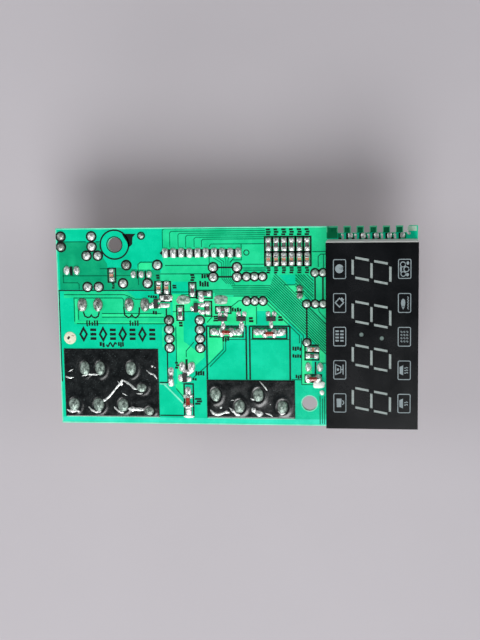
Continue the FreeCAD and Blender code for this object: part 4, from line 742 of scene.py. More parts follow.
def legend():
    ink = Shape()

    def line(*points, width=0.44, closed=False):
        ink.ribbon(points, width, BASE, INK_TOP, closed)

    def box(x0, y0, x1, y1, width=0.4):
        line(*corners_of(x0, y0, x1, y1), width=width, closed=True)

    def ring(x, y, radius, width, count):
        line(*circle(x, y, radius, radius, count), width=width, closed=True)

    for place in islands("solder_joints"):
        x, y, half_x, half_y = middle_of(place)
        if is_round(half_x, half_y):
            line(*circle(x, y, half_x + 0.08, half_y + 0.08, 36), width=0.54, closed=True)
    for i in range(9):
        x = PIN_X + PIN_PITCH * i + PIN_PITCH / 2
        ink.block(x - 0.36, 6.7, x + 0.36, 9.2, BASE, INK_TOP)
    ink.prism(((32.9, PIN_Y), (33.9, 7.0), (33.9, 8.8)), BASE, INK_TOP)
    ring(60, PIN_Y, 0.8, 0.28, 24)
    ring(18.7, 5.2, 4.5, 0.46, 56)
    # A dark ring just inside the mounting hole: painted shade of the hole's wall, in legend ink.
    ring(18.7, 5.2, 2.44, 0.24, 40)
    wedge = ((21.2, 1.9), (25.4, 1.9), (24.5, 3), (24.3, 5.2), (23.2, 6.1), (22.7, 4.4), (21.9, 3.2))
    ink.prism(wedge, BASE, INK_TOP)
    ring(27.2, 2.5, 1.1, 0.34, 28)
    line((34.3, 19.5), (0.45, 19.5), (0.45, 48.6), width=0.34)
    line((34.6, 25.2), (34.6, 27.4))
    line((34.6, 38.9), (34.6, 48.7), (31.9, 48.7), width=0.36)
    line((31.9, 59.35), (39.3, 59.35), width=0.22)
    for x in (47.15, 59.55, 60.65, 73.15):
        line((x, 30.75), (x, 47.6), width=0.48)
    line((47.15, 30.75), (59.55, 30.75))
    line((60.65, 30.75), (73.15, 30.75))
    line((8.1, 26.3), (8.5, 27.6), (9.4, 28.1), (10.2, 27.9), (10.6, 27.3), (11, 27.9), (11.9, 28.2),
         (12.8, 27.7), (13.2, 26.3))
    line((21.1, 24.6), (21.3, 27.2), (22.4, 28.1), (23.2, 27.8), (23.6, 27.2), (24, 27.8), (24.9, 28.2),
         (25.9, 27.2), (26.1, 24.8))
    for points in (((50.9, 12.45), (55.5, 12.45)), ((50.9, 15.35), (55.5, 15.35)), ((81, 15), (81, 22.5)),
                   ((83.4, 15), (83.4, 22.5)), ((78.4, 24.6), (78.4, 34.3)),
                   ((75, 20.1), (77.5, 20.1)), ((81, 41.8), (81, 45.6)),
                   ((25.75, 13.4), (25.75, 15.8)), ((28.25, 13.4), (28.25, 15.8))):
        line(*points, width=0.5)
    line((4.65, 11.9), (4.65, 14.7), width=0.9)
    line((40.65, 41.2), (40.65, 44.6), width=0.75)
    for place in ((37.9, 24.3, 40.1, 28.9), (46.8, 23, 48.9, 27.6), (41.9, 17.1, 44.1, 21.8),
                  (44.3, 19.8, 49.1, 22), (50.2, 24.6, 54.9, 26.7), (16.4, 12.6, 18.8, 16.9),
                  (31.2, 16.8, 33.7, 20.4), (33.8, 16.8, 36.1, 20.4), (32.6, 20.9, 36.2, 23),
                  (77.8, 36.6, 81.8, 38.7), (77.8, 38.8, 82, 41.2), (77.8, 45.9, 82.8, 48.2),
                  (39.7, 49.1, 42.6, 59.6), (48.2, 31.3, 58.6, 34.1), (61.6, 31.3, 72.2, 34.6)):
        box(*place, width=0.44)
    chip_pitch = 2.37
    for i in range(6):
        x = 66.8 + chip_pitch * i
        box(x - 1.12, 3.1, x + 1.12, 7.7, width=0.5)
        box(x - 1.12, 7.9, x + 1.12, 12, width=0.5)
        mark(ink, x - 0.75, 0.6, x + 0.75, 2.85)
        mark(ink, x - 0.7, 12.4, x + 0.6, 14.5)
    for place in ((45.9, 14.4, 48.2, 15.8), (45.2, 16.6, 48.3, 18.4), (42.4, 14.5, 43.8, 16.8),
                  (36.7, 17.8, 38, 19.1), (49.4, 27.5, 51.1, 29.4), (60.5, 27.9, 61.9, 29.7),
                  (69.6, 27.6, 71, 29.3), (38.5, 29.4, 39.7, 31.1), (55.2, 24.9, 58.4, 26.2),
                  (17.5, 17.2, 18.4, 19.1), (31.6, 14.6, 32.7, 16.1), (28.9, 21.1, 31.9, 21.9),
                  (30.3, 25.9, 31.8, 27.1), (52.1, 34.3, 54.4, 35.6), (43.4, 45, 46.4, 46.4),
                  (43.1, 53.6, 45.3, 55.9), (37, 42.1, 38.2, 44.4), (73.9, 37.1, 76.8, 38.4),
                  (73.9, 39.5, 76.8, 40.6), (74.8, 45.9, 76.8, 47.2), (42.4, 47.1, 43.9, 48)):
        mark(ink, *place)
    for x, up in ((8.9, 0), (9.7, 0), (10.6, 0.5), (11.4, 0), (12.2, 0),
                  (22.8, 0), (23.6, 0.5), (24.4, 0), (25.2, 0)):
        ink.block(x, 29.0 + up, x + 0.46, 30.7, BASE, INK_TOP)
    for i in range(8):
        x = 7.9 + 3.15 * i
        if i % 2:
            for y in (32.0, 33.4, 34.8):
                ink.block(x - 0.95, y - 0.4, x + 0.95, y + 0.4, BASE, INK_TOP)
        else:
            line((x, 31.5), (x + 1.05, 33.4), (x, 35.3), (x - 1.05, 33.4), width=0.62, closed=True)
    wave = [(15.2 + i * 0.2, 36.7 + 0.62 * math.sin(i * 0.78)) for i in range(17)]
    line(*wave, width=0.42)
    mark(ink, 13.0, 35.9, 14.8, 37.5)
    mark(ink, 18.9, 35.9, 20.9, 37.5)
    ink.piece("printed_legend", [LEGEND], "circuit_board")


legend()


# ---- comb along the upper right edge ----------------------------------------------------------------

def comb():
    tabs, ink, metal, edge, end = Shape(), Shape(), Shape(), Shape(), Shape()
    first_left, first_right = 84.6, 87.9
    # The tabs are drawn in dark lacquer: partly painted shade of the display.
    tabs.block(first_left, 0.5, first_right, 3.7, BASE, TAB_TOP)
    for i in range(6):
        x = TAB_X + TAB_PITCH * i
        if i < 5:
            tabs.block(x + 1.85, 0.15, x + 3.85, 2.05, BASE, TAB_TOP)
        tabs.block(x + 0.1, 2.25, x + 0.9, 3.9, BASE, TAB_TOP)
    # Dark bars under the tabs and by the notches, drawn in the legend's black.
    for i in range(5):
        x = 89.2 + TAB_PITCH * i
        ink.block(x + 1.3, 2.15, x + 1.95, 4.0, BASE, INK_TOP)
        ink.block(x - 0.95, 3.5, x - 0.15, 4.0, BASE, INK_TOP)
        metal.blob(x + 2.55, 2.95, 0.72, 0.85, 0.4, 300 + i, nub=False, rough=2.0, square=3.2)
        metal.blob(x + 0.15, 2.7, 0.32, 0.4, 0.2, 320 + i, nub=False, rough=2.0)
    # Pale rims along each tab's top and sides: partly bare laminate, partly painted highlight of the cut
    # edges.
    tab_ends = [(89.82 + TAB_PITCH * i, 91.82 + TAB_PITCH * i) for i in range(5)]
    for x0, x1 in [(first_left, first_right)] + tab_ends:
        edge.block(x0, 0.12, x1, 0.42, BASE, RIM_TOP)
        edge.block(x1 - 0.2, 0.42, x1, 1.9, BASE, RIM_TOP)
        edge.block(x0, 0.42, x0 + 0.16, 1.9, BASE, RIM_TOP)
    end.block(108.9, 0.2, 111.6, 1.6, BASE, 0.045)
    metal.blob(109.3, 2.3, 0.5, 0.5, 0.25, 351, nub=False, rough=2.0)
    tabs.piece("comb_tab_lacquer", [MASK_TAB], "circuit_board")
    ink.piece("comb_legend", [LEGEND], "circuit_board")
    metal.piece("comb_solder", [SOLDER], "solder")
    edge.piece("comb_tab_rims", [MASK_TAB_RIM], "circuit_board")
    end.piece("comb_bare_end", [BOARD_EDGE], "circuit_board")


comb()


# ---- solder -----------------------------------------------------------------------------------------

DULL_PLACES = ((1.5, 2.3), (1.5, 5.6), (22.4, 11.7), (35.4, 28.9), (76.2, 18.9), (76.2, 21.3))
FLUXED_PLACES = ((52, 22.5), (40, 22.5))
SMEARS = (
    (34.9, 22.0, 1.5, 0.95, 0.5), (33.9, 24.2, 1.8, 0.7, 0.5), (29.6, 24.4, 1.4, 0.8, 0.6),
    (45.7, 22.2, 0.9, 1.0, 0.5), (46.0, 24.1, 1.0, 0.7, 0.5), (46.0, 26.4, 1.0, 0.7, 0.5),
    (42.9, 25.2, 0.8, 0.8, 0.5), (51.5, 27.1, 0.7, 0.8, 0.5), (53.3, 27.1, 0.7, 0.8, 0.5),
    (52.4, 30.9, 0.7, 1.1, 0.5), (57.3, 27.0, 0.7, 0.9, 0.5), (59.1, 27.0, 0.7, 0.9, 0.5),
    (58.2, 31.0, 0.8, 1.5, 0.5), (66.5, 27.0, 0.7, 0.9, 0.5), (68.4, 27.0, 0.7, 0.9, 0.5),
    (67.4, 30.3, 0.6, 1.1, 0.5), (38.8, 47.2, 0.9, 1.1, 0.5), (41.2, 47.6, 1.0, 0.9, 0.5),
    (40.9, 45.2, 1.6, 0.7, 0.5), (51.0, 32.8, 1.2, 0.8, 0.7), (55.7, 32.8, 1.2, 0.8, 0.7),
    (64.1, 32.6, 1.3, 0.8, 0.7), (69.6, 32.9, 1.2, 0.9, 0.7), (41.0, 51.6, 1.0, 1.5, 0.7),
    (41.0, 57.6, 1.0, 1.5, 0.7), (35.6, 44.9, 0.9, 1.1, 0.5), (35.6, 48.9, 0.9, 1.0, 0.5),
    (39.2, 43.6, 1.0, 1.5, 0.7), (42.1, 43.8, 1.0, 1.6, 0.7)
)


def near(x, y, places):
    return min(abs(x - a) + abs(y - b) for a, b in places) < 0.8


def ends_of(place):
    """The two ends of a chip's box, with the direction out of each: chips lie along x or y."""
    x0, y0, x1, y1 = place[:4]
    x, y = middle_of(place)[:2]
    if x1 - x0 > y1 - y0:
        return ((x0, y, -1, 0), (x1, y, 1, 0))
    return ((x, y0, 0, -1), (x, y1, 0, 1))


def through_hole_joints():
    joints, dull, covered, fluxed = Shape(), Shape(), Shape(), Shape()
    sheets = [board_box(node)[:4] for node in ("mains_insulating_sheet", "relay_insulating_sheet")]
    for i, place in enumerate(islands("solder_joints")):
        x, y, half_x, half_y = middle_of(place)
        seed = 11.3 + i * 1.7
        if near(x, y, FLUXED_PLACES):
            fluxed.blob(x, y, half_x, half_y, 0.42, seed, nub=False, rough=1.8, square=2.8)
            continue
        height = (0.95 + 0.25 * ((i * 37) % 10) / 10) * (1.25 if half_y > 1.8 else 1.0)
        square, grow, lean = 2.2, 1.0, 0.18
        on_connector = 34 < x < 58.5
        target = dull if near(x, y, DULL_PLACES) else joints
        if any(a < x < c and b < y < d for a, b, c, d in sheets):
            target = covered
        elif half_y > 1.7 and not on_connector:
            target = dull
        elif is_round(half_x, half_y):
            grow = 0.9
        elif abs(y - 8.0) < 0.4 and on_connector:
            square, grow, lean = 5.0, 0.98, 0.05
        target.blob(x, y, half_x * grow, half_y * grow, height, seed, square=square, lean=lean)
    dull.blob(27.2, 2.5, 0.85, 0.85, 0.4, 61, nub=False)
    joints.piece("solder_joints_finished", [SOLDER], "solder", replaces="solder_joints")
    dull.piece("solder_joints_dull", [SOLDER_DULL], "solder")
    covered.piece("solder_joints_under_film", [SOLDER_COVERED], "solder")
    fluxed.piece("solder_joints_fluxed", [FLUXED], "solder")


def chip_joints():
    """Solder at the chips' ends and legs, and smears on bare pads."""
    solder = Shape()
    for i, (x, y, half_x, half_y, height) in enumerate(SMEARS):
        solder.blob(x, y, half_x, half_y, height, 511 + i * 2.3, nub=False, rough=1.5, square=3.2)
    for node, out in (("small_resistors", 0.42), ("small_capacitors", 0.4)):
        for i, place in enumerate(islands(node)):
            half = min(middle_of(place)[2:]) + 0.2
            height = (place[5] - place[4]) * 0.7 + 0.42
            for k, (x, y, dx, dy) in enumerate(ends_of(place)):
                half_x, half_y = (half, out + 0.42) if dy else (out + 0.42, half)
                solder.blob(x + dx * 0.22, y + dy * 0.22, half_x, half_y, height, 700 + i * 5.7 + k,
                            nub=False, rough=1.3, square=4.0)
    for i, place in enumerate(islands("glass_diode_caps")):
        x, y, half_x, half_y = middle_of(place)
        solder.blob(x, y, half_x + 0.85, half_y + 0.65, 0.95, 900 + i * 3.1, nub=False, rough=1.4)
    for i, place in enumerate(islands("small_transistor_legs")):
        x, y, half_x, half_y = middle_of(place)
        solder.blob(x, y, half_x + 0.3, half_y + 0.3, 0.42, 1200 + i * 2.9, nub=False, rough=1.4)
    solder.piece("chip_solder", [SOLDER], "solder")


through_hole_joints()
chip_joints()


# ---- chips ------------------------------------------------------------------------------------------

def chips():
    for node, body_paint, bare in (("small_resistors", ALUMINA, 0.3), ("small_capacitors", CERAMIC, 0.58)):
        bodies, caps = Shape(), Shape()
        for x0, y0, x1, y1, low, high in islands(node):
            cap, under, over = bare + 0.06, low - 0.02, high + 0.02
            if x1 - x0 > y1 - y0:
                bodies.block(x0 + bare, y0 + 0.03, x1 - bare, y1 - 0.03, low, high - 0.02)
                caps.block(x0, y0, x0 + cap, y1, under, over)
                caps.block(x1 - cap, y0, x1, y1, under, over)
            else:
                bodies.block(x0 + 0.03, y0 + bare, x1 - 0.03, y1 - bare, low, high - 0.02)
                caps.block(x0, y0, x1, y0 + cap, under, over)
                caps.block(x0, y1 - cap, x1, y1, under, over)
        bodies.piece(node + "_bodies", [body_paint], slot_of[node], replaces=node, bevel=0.05)
        caps.piece(node + "_end_caps", [TINNED], "tinned_metal", bevel=0.07)


chips()
for node, width in (("small_transistors", 0.14), ("small_transistor_legs", 0.04)):
    refined(node, width)


# ---- insulating sheets ------------------------------------------------------------------------------

SHEET_STEP, SHEET_FLOOR = 0.4, 0.12


def crinkled_sheet(node, streaks, spots, seed):
    """A thin glossy sheet pressed over the joints: it rises round each joint and creases between them."""
    x0, y0, x1, y1, _, high = board_box(node)
    joints = [middle_of(place) for place in islands("solder_joints")
              if x0 < place[0] and place[2] < x1 and y0 < place[1] and place[3] < y1]
    across, down = int((x1 - x0) / SHEET_STEP), int((y1 - y0) / SHEET_STEP)
    shape = Shape()

    def height(x, y):
        rise = 0.0
        for a, b, half_x, half_y in joints:
            away = math.hypot((x - a) / half_x, (y - b) / half_y)
            rise = max(rise, 0.3 * math.exp(-((away - 1.35) / 0.3) ** 2))
        p = Vector((x * 0.16 + seed, y * 0.2, seed))
        crease = abs(noise.noise(p)) + 0.35 * abs(noise.noise(p * 2.7))
        loose = 0.3 + 0.7 * min(1.0, max(0.0, (y - y0) / (y1 - y0) * 1.6 - 0.5))
        edge = min(x - x0, x1 - x, y - y0, y1 - y)
        waves = loose * (0.16 * (0.34 - crease) + 0.02 * noise.noise(p * 6))
        return max(high - 0.1 + min(1.0, edge / 1.2) * (rise * 0.6 + waves), SHEET_FLOOR)

    rows = []
    for j in range(down + 1):
        y = y0 + (y1 - y0) * j / down
        rows.append([(x0 + (x1 - x0) * i / across, y) for i in range(across + 1)])
    top = [[shape.vertex(x, y, height(x, y)) for x, y in row] for row in rows]
    under = [[shape.vertex(x, y, 0.0) for x, y in row] for row in rows]
    for j in range(down):
        for i in range(across):
            shape.face((top[j][i], top[j][i + 1], top[j + 1][i + 1], top[j + 1][i]), smooth=True)
            shape.face((under[j][i], under[j + 1][i], under[j + 1][i + 1], under[j][i + 1]))
    border = [(0, i) for i in range(across)] + [(j, across) for j in range(down)]
    border += [(down, i) for i in range(across, 0, -1)] + [(j, 0) for j in range(down, 0, -1)]
    for k, (j, i) in enumerate(border):
        m, n = border[(k + 1) % len(border)]
        shape.face((top[j][i], top[m][n], under[m][n], under[j][i]))
    shape.piece(node + "_crinkled", [SHEET], "black_sheet", replaces=node)

    # Bright streaks and spots on the sheet, in solder: partly solder, partly painted highlights on the
    # sheet's creases.
    bright_streaks = Shape()
    turns = [math.tau * q / 10 for q in range(10)]
    for k, (points, width) in enumerate(streaks):
        fine = []
        for (ax, ay), (bx, by) in zip(points, points[1:]):
            steps = max(2, round(math.hypot(bx - ax, by - ay) / 0.35))
            fine += [(ax + (bx - ax) * i / steps, ay + (by - ay) * i / steps) for i in range(steps)]
        fine.append(points[-1])
        loops = []
        for i, (x, y) in enumerate(fine):
            ahead = Vector(fine[min(i + 1, len(fine) - 1)]) - Vector(fine[max(i - 1, 0)])
            side = Vector((ahead.y, -ahead.x)).normalized()
            ends = min(1.0, 0.25 + min(i, len(fine) - 1 - i) * 0.3)
            half = width * 0.72 * ends * (1 + 0.6 * noise.noise(Vector((x * 1.1, y * 1.1, seed + k))))
            level = height(x, y)
            loops.append([(x + side.x * half * math.cos(a), y + side.y * half * math.cos(a),
                           level + 0.4 * half * math.sin(a)) for a in turns])
        bright_streaks.rings(loops)
    for k, (x, y, half_x, half_y) in enumerate(spots):
        bright_streaks.blob(x, y, half_x, half_y, 0.25, seed * 31 + k, nub=False, rough=2.0, base=height(x, y) - 0.08)
    bright_streaks.piece(node + "_solder_streaks", [SOLDER], "solder")


crinkled_sheet("mains_insulating_sheet", (
    (((12.9, 55), (14.3, 54.4), (15.8, 53.2), (17.2, 51.5), (18.3, 50.2), (19.4, 49), (20, 48), (21.2, 48.6),
      (22.6, 49.5), (23.6, 50.5), (24.8, 51)), 0.5),
    (((21.5, 57.2), (24, 57.35), (26.8, 57.4)), 0.95),
    (((8.8, 56.7), (9.8, 57.7), (11.2, 58.4), (12.8, 58.2)), 0.5),
    (((17, 56.5), (18, 57.6), (19.3, 58.4), (20.3, 58.4)), 0.5),
    (((1.6, 57.7), (2.5, 58.1), (6, 58.2)), 0.6),
    (((6.9, 46.8), (9, 46.2), (12.6, 46.3)), 0.35),
    (((1.5, 47), (3, 47.4), (4.4, 47.2)), 0.4),
    (((2.5, 45.5), (4.2, 44.6)), 0.3),
    (((27.7, 44.7), (28.8, 45.7), (30.2, 46.2), (31.2, 47.6)), 0.35),
    (((19.8, 52.2), (21.4, 53)), 0.35),
    (((24.3, 52.3), (26.5, 52.3)), 0.3),
    (((18.4, 48.3), (19.6, 49.8)), 0.3),
), ((29.7, 43.5, 0.4, 0.3), (19.5, 49.3, 0.6, 0.5), (30.6, 43.9, 0.25, 0.2)), 3.4)
crinkled_sheet("relay_insulating_sheet", (
    (((47.9, 57.2), (48.9, 58.4), (50.3, 58.8), (51.7, 58.4), (53, 57.9), (54.1, 58.2)), 0.6),
    (((54, 56.5), (55.2, 57.6), (56.2, 58.6), (57.4, 58.9)), 0.6),
    (((54.5, 54.2), (55.5, 54.1)), 0.3),
    (((61.1, 56.5), (61.9, 57.6), (63.2, 58.3), (64.6, 58.4)), 1.2),
    (((65.3, 58.2), (66.8, 58.6), (67.6, 59.3)), 0.35),
    (((60.7, 53.4), (62, 54.1)), 0.4),
    (((63.6, 48.1), (64.3, 48.8), (66, 51)), 0.3),
    (((69.2, 57.5), (70.3, 58.3), (71.6, 58.2)), 0.5),
), ((51.3, 56.5, 0.4, 0.35), (66.9, 55.4, 0.2, 0.2)), 8.1)


# ---- inspection dot and fixing paste ----------------------------------------------------------------

def dots():
    place = board_box("inspection_dot")
    x, y, radius, _ = middle_of(place)
    high = place[5]
    dot = Shape()
    dot.blob(x, y, radius, radius, high + 0.05, 41, nub=False, rough=0.5, lean=0.0)
    dot.piece("inspection_dot_ink", [STICKER], "pale_sticker", replaces="inspection_dot")
    fleck = Shape()
    outline = ((-0.9, -0.1), (-0.4, -0.6), (0.1, -0.3), (-0.4, 0.5), (-0.8, 0.4))
    fleck.prism([(x + dx, y + dy) for dx, dy in outline], 0.1, high + 0.07)
    fleck.piece("inspection_dot_fleck", [BAND_BLACK], "pale_sticker")
    paste = Shape()
    paste.blob(82.0, 49.0, 1.75, 1.05, 0.8, 77, nub=False, rough=1.2, square=4.0)
    paste.blob(83.0, 51.5, 0.7, 0.75, 0.6, 79, nub=False, rough=1.6)
    paste.blob(41.1, 59.5, 1.6, 0.5, 0.5, 83, nub=False, rough=1.6)
    paste.piece("fixing_paste", [PASTE], "pale_sticker")


dots()


# ---- display ----------------------------------------------------------------------------------------

PICTOGRAM_PITCH = 10.05
FILM_SINK = 0.05        # the film's face is sunk this far, so that its prints stay inside the CAD shape


def case_and_segments():
    """The case and its diffusers, each drawn in a little from its well; the two dots are dimmer."""
    refined("display_housing", 0.18)
    segments = refined("display_segments", 0.05)
    segments.data.materials.append(DIM_DIFFUSER)
    for place in islands("display_segments"):
        x, y, half_x, half_y = middle_of(place)
        wide, tall = half_x * 2, half_y * 2
        dot = abs(wide - tall) < 0.1
        slope = 0.0 if dot or wide < tall else (tall - 0.85) / wide
        along_x, along_y = (0.82, 0.82) if dot else (0.95, 0.86) if wide > tall else (0.86, 0.93)
        for v in segments.data.vertices:
            across, down = (v.co.x - board_low.x) / MM - x, (board_high.y - v.co.y) / MM - y
            if abs(across) < half_x + 0.01 and abs(down) < half_y + 0.01:
                down = slope * across * along_x + (down - slope * across) * along_y
                v.co.x = board_low.x + (x + across * along_x) * MM
                v.co.y = board_high.y - (y + down) * MM
        for polygon in segments.data.polygons:
            middle = polygon.center
            if dot and (abs((middle.x - board_low.x) / MM - x) < half_x
                        and abs((board_high.y - middle.y) / MM - y) < half_y):
                polygon.material_index = 1


def face_film():
    low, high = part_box("display_face_film")
    data = frame["nodes"]["display_face_film"].data.copy()
    middle = (low.z + high.z) / 2
    for v in data.vertices:
        if v.co.z > middle:
            v.co.z -= FILM_SINK * MM
    film = new_object("display_film_finished", data)
    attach(film, ROOT)
    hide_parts("display_face_film")


def pictograms():
    """The pale frames and drawings in a column on each side of the digits."""
    level = board_box("display_face_film")[5]
    bottom, top = level - 0.07, level - 0.012
    prints = Shape()

    def line(*points, width=0.3, closed=False):
        prints.ribbon(points, width, bottom, top, closed)

    def fill(outline):
        prints.prism(outline, bottom, top)

    def frame_of(x0, y0):
        corners = []
        for dx, dy, start in ((3.2, 0.4, -90), (3.2, 5.2, 0), (0.4, 5.2, 90), (0.4, 0.4, 180)):
            corners += circle(x0 + dx, y0 + dy, 0.4, 0.4, 4, math.radians(start), math.pi / 2)
        line(*corners, width=0.25, closed=True)

    for k in range(5):
        frame_of(87.0, 9.3 + PICTOGRAM_PITCH * k)
        frame_of(106.0, 9.3 + PICTOGRAM_PITCH * k)

    def arc(x, y, radius, start, end):
        points = circle(x, y, radius, radius, 12, math.radians(start), math.radians(end - start))
        line(*points, width=0.26)

    x, y = 88.75, 12.0
    fill(circle(x, y, 1.25, 1.3, 32, math.radians(20), math.radians(320)) + [(x, y)])
    fill([(x, y - 0.12)] + circle(x, y, 1.05, 1.1, 8, math.radians(-8), math.radians(24)))
    y += PICTOGRAM_PITCH
    line((x - 1.25, y), (x, y - 1.3), (x + 1.25, y), (x, y + 1.3), width=0.34, closed=True)
    line((x + 0.5, y - 1.4), (x + 1.2, y - 0.7), width=0.5)
    y += PICTOGRAM_PITCH
    for row in range(2):
        for i in range(4):
            left, up = x - 1.2 + row * 1.4, y - 1.75 + i * 0.95
            fill(corners_of(left, up, left + 1.0, up + 0.5))
    y += PICTOGRAM_PITCH
    pan = ((x - 1.2, y - 1.5), (x - 1.2, y + 1.5), (x + 0.35, y + 0.85), (x + 0.35, y - 0.85))
    line(*pan, width=0.26, closed=True)
    fill(circle(x - 0.5, y, 0.36, 0.42, 16))
    fill(corners_of(x + 0.4, y - 0.15, x + 0.9, y + 0.15))
    line((x + 1.02, y - 1.5), (x + 1.02, y + 1.5), width=0.28)
    y += PICTOGRAM_PITCH
    fill(((x - 0.95, y - 1.2), (x + 0.55, y - 1.2), (x + 0.45, y + 1.4), (x - 0.85, y + 1.4)))
    arc(x + 0.6, y, 0.62, -80, 80)

    x, y = 107.8, 12.1
    arc(x - 0.5, y - 1.3, 0.75, 0, 345)
    arc(x + 0.5, y + 0.1, 0.75, 0, 345)
    arc(x - 0.4, y + 1.5, 0.7, 0, 345)
    fill(circle(x + 0.9, y - 1.7, 0.4, 0.5, 14))
    fill(circle(x + 0.8, y + 1.7, 0.45, 0.5, 14))
    fill(circle(x - 1.1, y + 0.1, 0.3, 0.9, 14))
    y += PICTOGRAM_PITCH
    fill(circle(x - 0.4, y, 0.62, 1.25, 24))
    fill(((x - 0.9, y + 1), (x + 0.1, y + 1), (x - 0.4, y + 2)))
    for i in range(9):
        first, second = 0.35 * (i % 2), 0.35 * ((i + 1) % 2)
        line((x + 0.85 + first, y - 1.9 + i * 0.42), (x + 0.85 + second, y - 1.48 + i * 0.42), width=0.24)
    y += PICTOGRAM_PITCH
    for a in range(3):
        for b in range(4):
            left, up = x - 1.15 + a * 0.85, y - 1.75 + b * 0.95
            line((left, up + 0.28), (left + 0.6, up + 0.28), width=0.17)
            line((left + 0.3, up), (left + 0.3, up + 0.58), width=0.17)
            line((left + 0.06, up + 0.06), (left + 0.54, up + 0.52), width=0.13)
    for waves in (3, 2):
        y += PICTOGRAM_PITCH
        fill(((x - 1.35, y - 1.0), (x - 0.3, y - 1.5), (x - 0.3, y + 1.5), (x - 1.35, y + 1.0)))
        for i in range(waves):
            across = y - 0.75 + (i + 0.5 * (3 - waves)) * 0.75
            line(*[(x + 0.05 + q * 0.18, across + 0.14 * math.sin(q * 1.2)) for q in range(7)], width=0.24)
    prints.piece("film_pictograms", [PRINT], "dark_film")


case_and_segments()
face_film()
pictograms()


# ---- component side ---------------------------------------------------------------------------------

for node, width in (
        ("relay_covers", 0.5), ("relay_bases", 0.15), ("keypad_connector_housing", 0.14),
        ("mains_header_housing", 0.3), ("mains_header_pins", 0.12), ("microcontroller", 0.16),
        ("optocoupler", 0.16), ("resonator", 0.7), ("transformer_i_core", 0.18),
        ("transformer_e_core", 0.18), ("transformer_bobbin", 0.15), ("transformer_tape", 0.12),
        ("transformer_primary_winding", 0.2), ("transformer_secondary_winding", 0.2), ("buzzer", 0.35),
        ("power_transistor", 0.2), ("keypad_connector_contacts", 0.05), ("integrated_circuit_pins", 0.04),
        ("relay_fixed_contacts", 0.05), ("relay_spring_terminals", 0.05), ("relay_bobbins", 0.08),
        ("relay_yokes", 0.1), ("display_icon_windows", 0.05), ("display_light_chips", 0.04)):
    refined(node, width)


def lying(place):
    """A round part that lies along x or y: its middle, its axis, half its length and its radius."""
    x, y, half_x, half_y = middle_of(place)
    low, high = place[4:]
    axis = "x" if half_x > half_y else "y"
    return x, y, (low + high) / 2, axis, max(half_x, half_y), (high - low) / 2


def both_ends(half, radius, steps):
    """A turned profile that is the same at both ends; steps are shares of half length and radius."""
    first = [(-half * along, radius * size) for along, size in steps]
    return first + [(-along, size) for along, size in reversed(first)]


def band(start, end, radius, lip):
    """The profile of a painted band round a body: its edges at one radius, and the rest at the lip's."""
    return (start, radius), (start + 0.02, lip), (end - 0.02, lip), (end, radius)


def axial_bodies():
    resistors, bands = Shape(), Shape()
    for i, place in enumerate(islands("axial_resistors")):
        x, y, h, axis, half, radius = lying(place)
        steps = ((1, 0.35), (0.96, 0.72), (0.84, 0.96), (0.7, 1), (0.52, 0.9), (0.4, 0.84))
        resistors.lathe(x, y, h, both_ends(half, radius, steps), axis)
        for k, (along, size) in enumerate(((-0.7, 1.012), (-0.3, 0.87), (-0.02, 0.87), (0.7, 1.012))):
            paint = ((i + k * 2) % 3) if k < 3 else 3
            edge, lip = radius * size * 0.99, radius * size
            ring = band(half * (along - 0.07), half * (along + 0.07), edge, lip)
            bands.lathe(x, y, h, ring, axis, paint=paint)
    resistors.piece("axial_resistors_finished", [LACQUER], "lacquered_resistor", replaces="axial_resistors")
    bands.piece("resistor_colour_bands", [BAND_BROWN, BAND_BLACK, BAND_RED, BAND_GOLD], "lacquered_resistor")


def power_resistor():
    body, bands = Shape(), Shape()
    x, y, h, axis, half, radius = lying(board_box("power_resistor"))
    steps = ((1, 0.5), (0.97, 0.82), (0.9, 0.97), (0.8, 1))
    body.lathe(x, y, h, both_ends(half, radius, steps), axis, 40)
    for along, paint in ((-0.66, 1), (-0.4, 0), (-0.14, 1), (0.6, 2)):
        ring = band(half * along - 0.3, half * along + 0.3, radius, radius * 1.012)
        bands.lathe(x, y, h, ring, axis, 40, paint=paint)
    body.piece("power_resistor_finished", [CEMENT], "lacquered_resistor", replaces="power_resistor")
    bands.piece("power_resistor_bands", [BAND_BROWN, BAND_BLACK, BAND_GOLD], "lacquered_resistor")


def rectifier_diodes():
    diodes, stripes = Shape(), Shape()
    for place in islands("rectifier_diodes"):
        x, y, h, axis, half, radius = lying(place)
        inner = half - 0.12
        profile = ((-half, radius * 0.86), (-inner, radius), (inner, radius), (half, radius * 0.86))
        diodes.lathe(x, y, h, profile, axis)
        start = -half + 0.7
        stripes.lathe(x, y, h, band(start, start + 0.77, radius, radius * 1.015), axis)
    diodes.piece("rectifier_diodes_finished", [MOULDED], "black_moulding", replaces="rectifier_diodes")
    stripes.piece("rectifier_diode_bands", [BAND_SILVER], "black_moulding")


axial_bodies()
power_resistor()
rectifier_diodes()


def capacitors():
    """Sleeved cans with a pale stripe, and a scored aluminium top that shows inside the sleeve's rim."""
    stripes, tops = Shape(), Shape()
    for place in islands("capacitor_cans"):
        x, y, radius, _ = middle_of(place)
        low, high = place[4:]
        outer = circle(x, y, radius + 0.035, radius + 0.035, 10, 0.35, 0.75)
        inner = circle(x, y, radius - 0.05, radius - 0.05, 10, 0.35, 0.75)[::-1]
        stripes.prism(outer + inner, low + 0.5, high - 2.6)
        profile = ((-0.045, radius * 0.5), (-0.04, radius * 0.78), (0.02, radius * 0.82))
        tops.lathe(x, y, low, profile, "z", 40)
        for a in (0.4, 0.4 + math.tau / 6, 0.4 + math.tau / 3):
            dx, dy = radius * 0.62 * math.cos(a), radius * 0.62 * math.sin(a)
            tops.ribbon([(x - dx, y - dy), (x + dx, y + dy)], 0.16, low - 0.075, low + 0.01)
    stripes.piece("capacitor_sleeve_stripes", [BAND_SILVER], "aluminium_sleeve")
    tops.piece("capacitor_can_tops", [ALUMINIUM], "aluminium_sleeve")


capacitors()


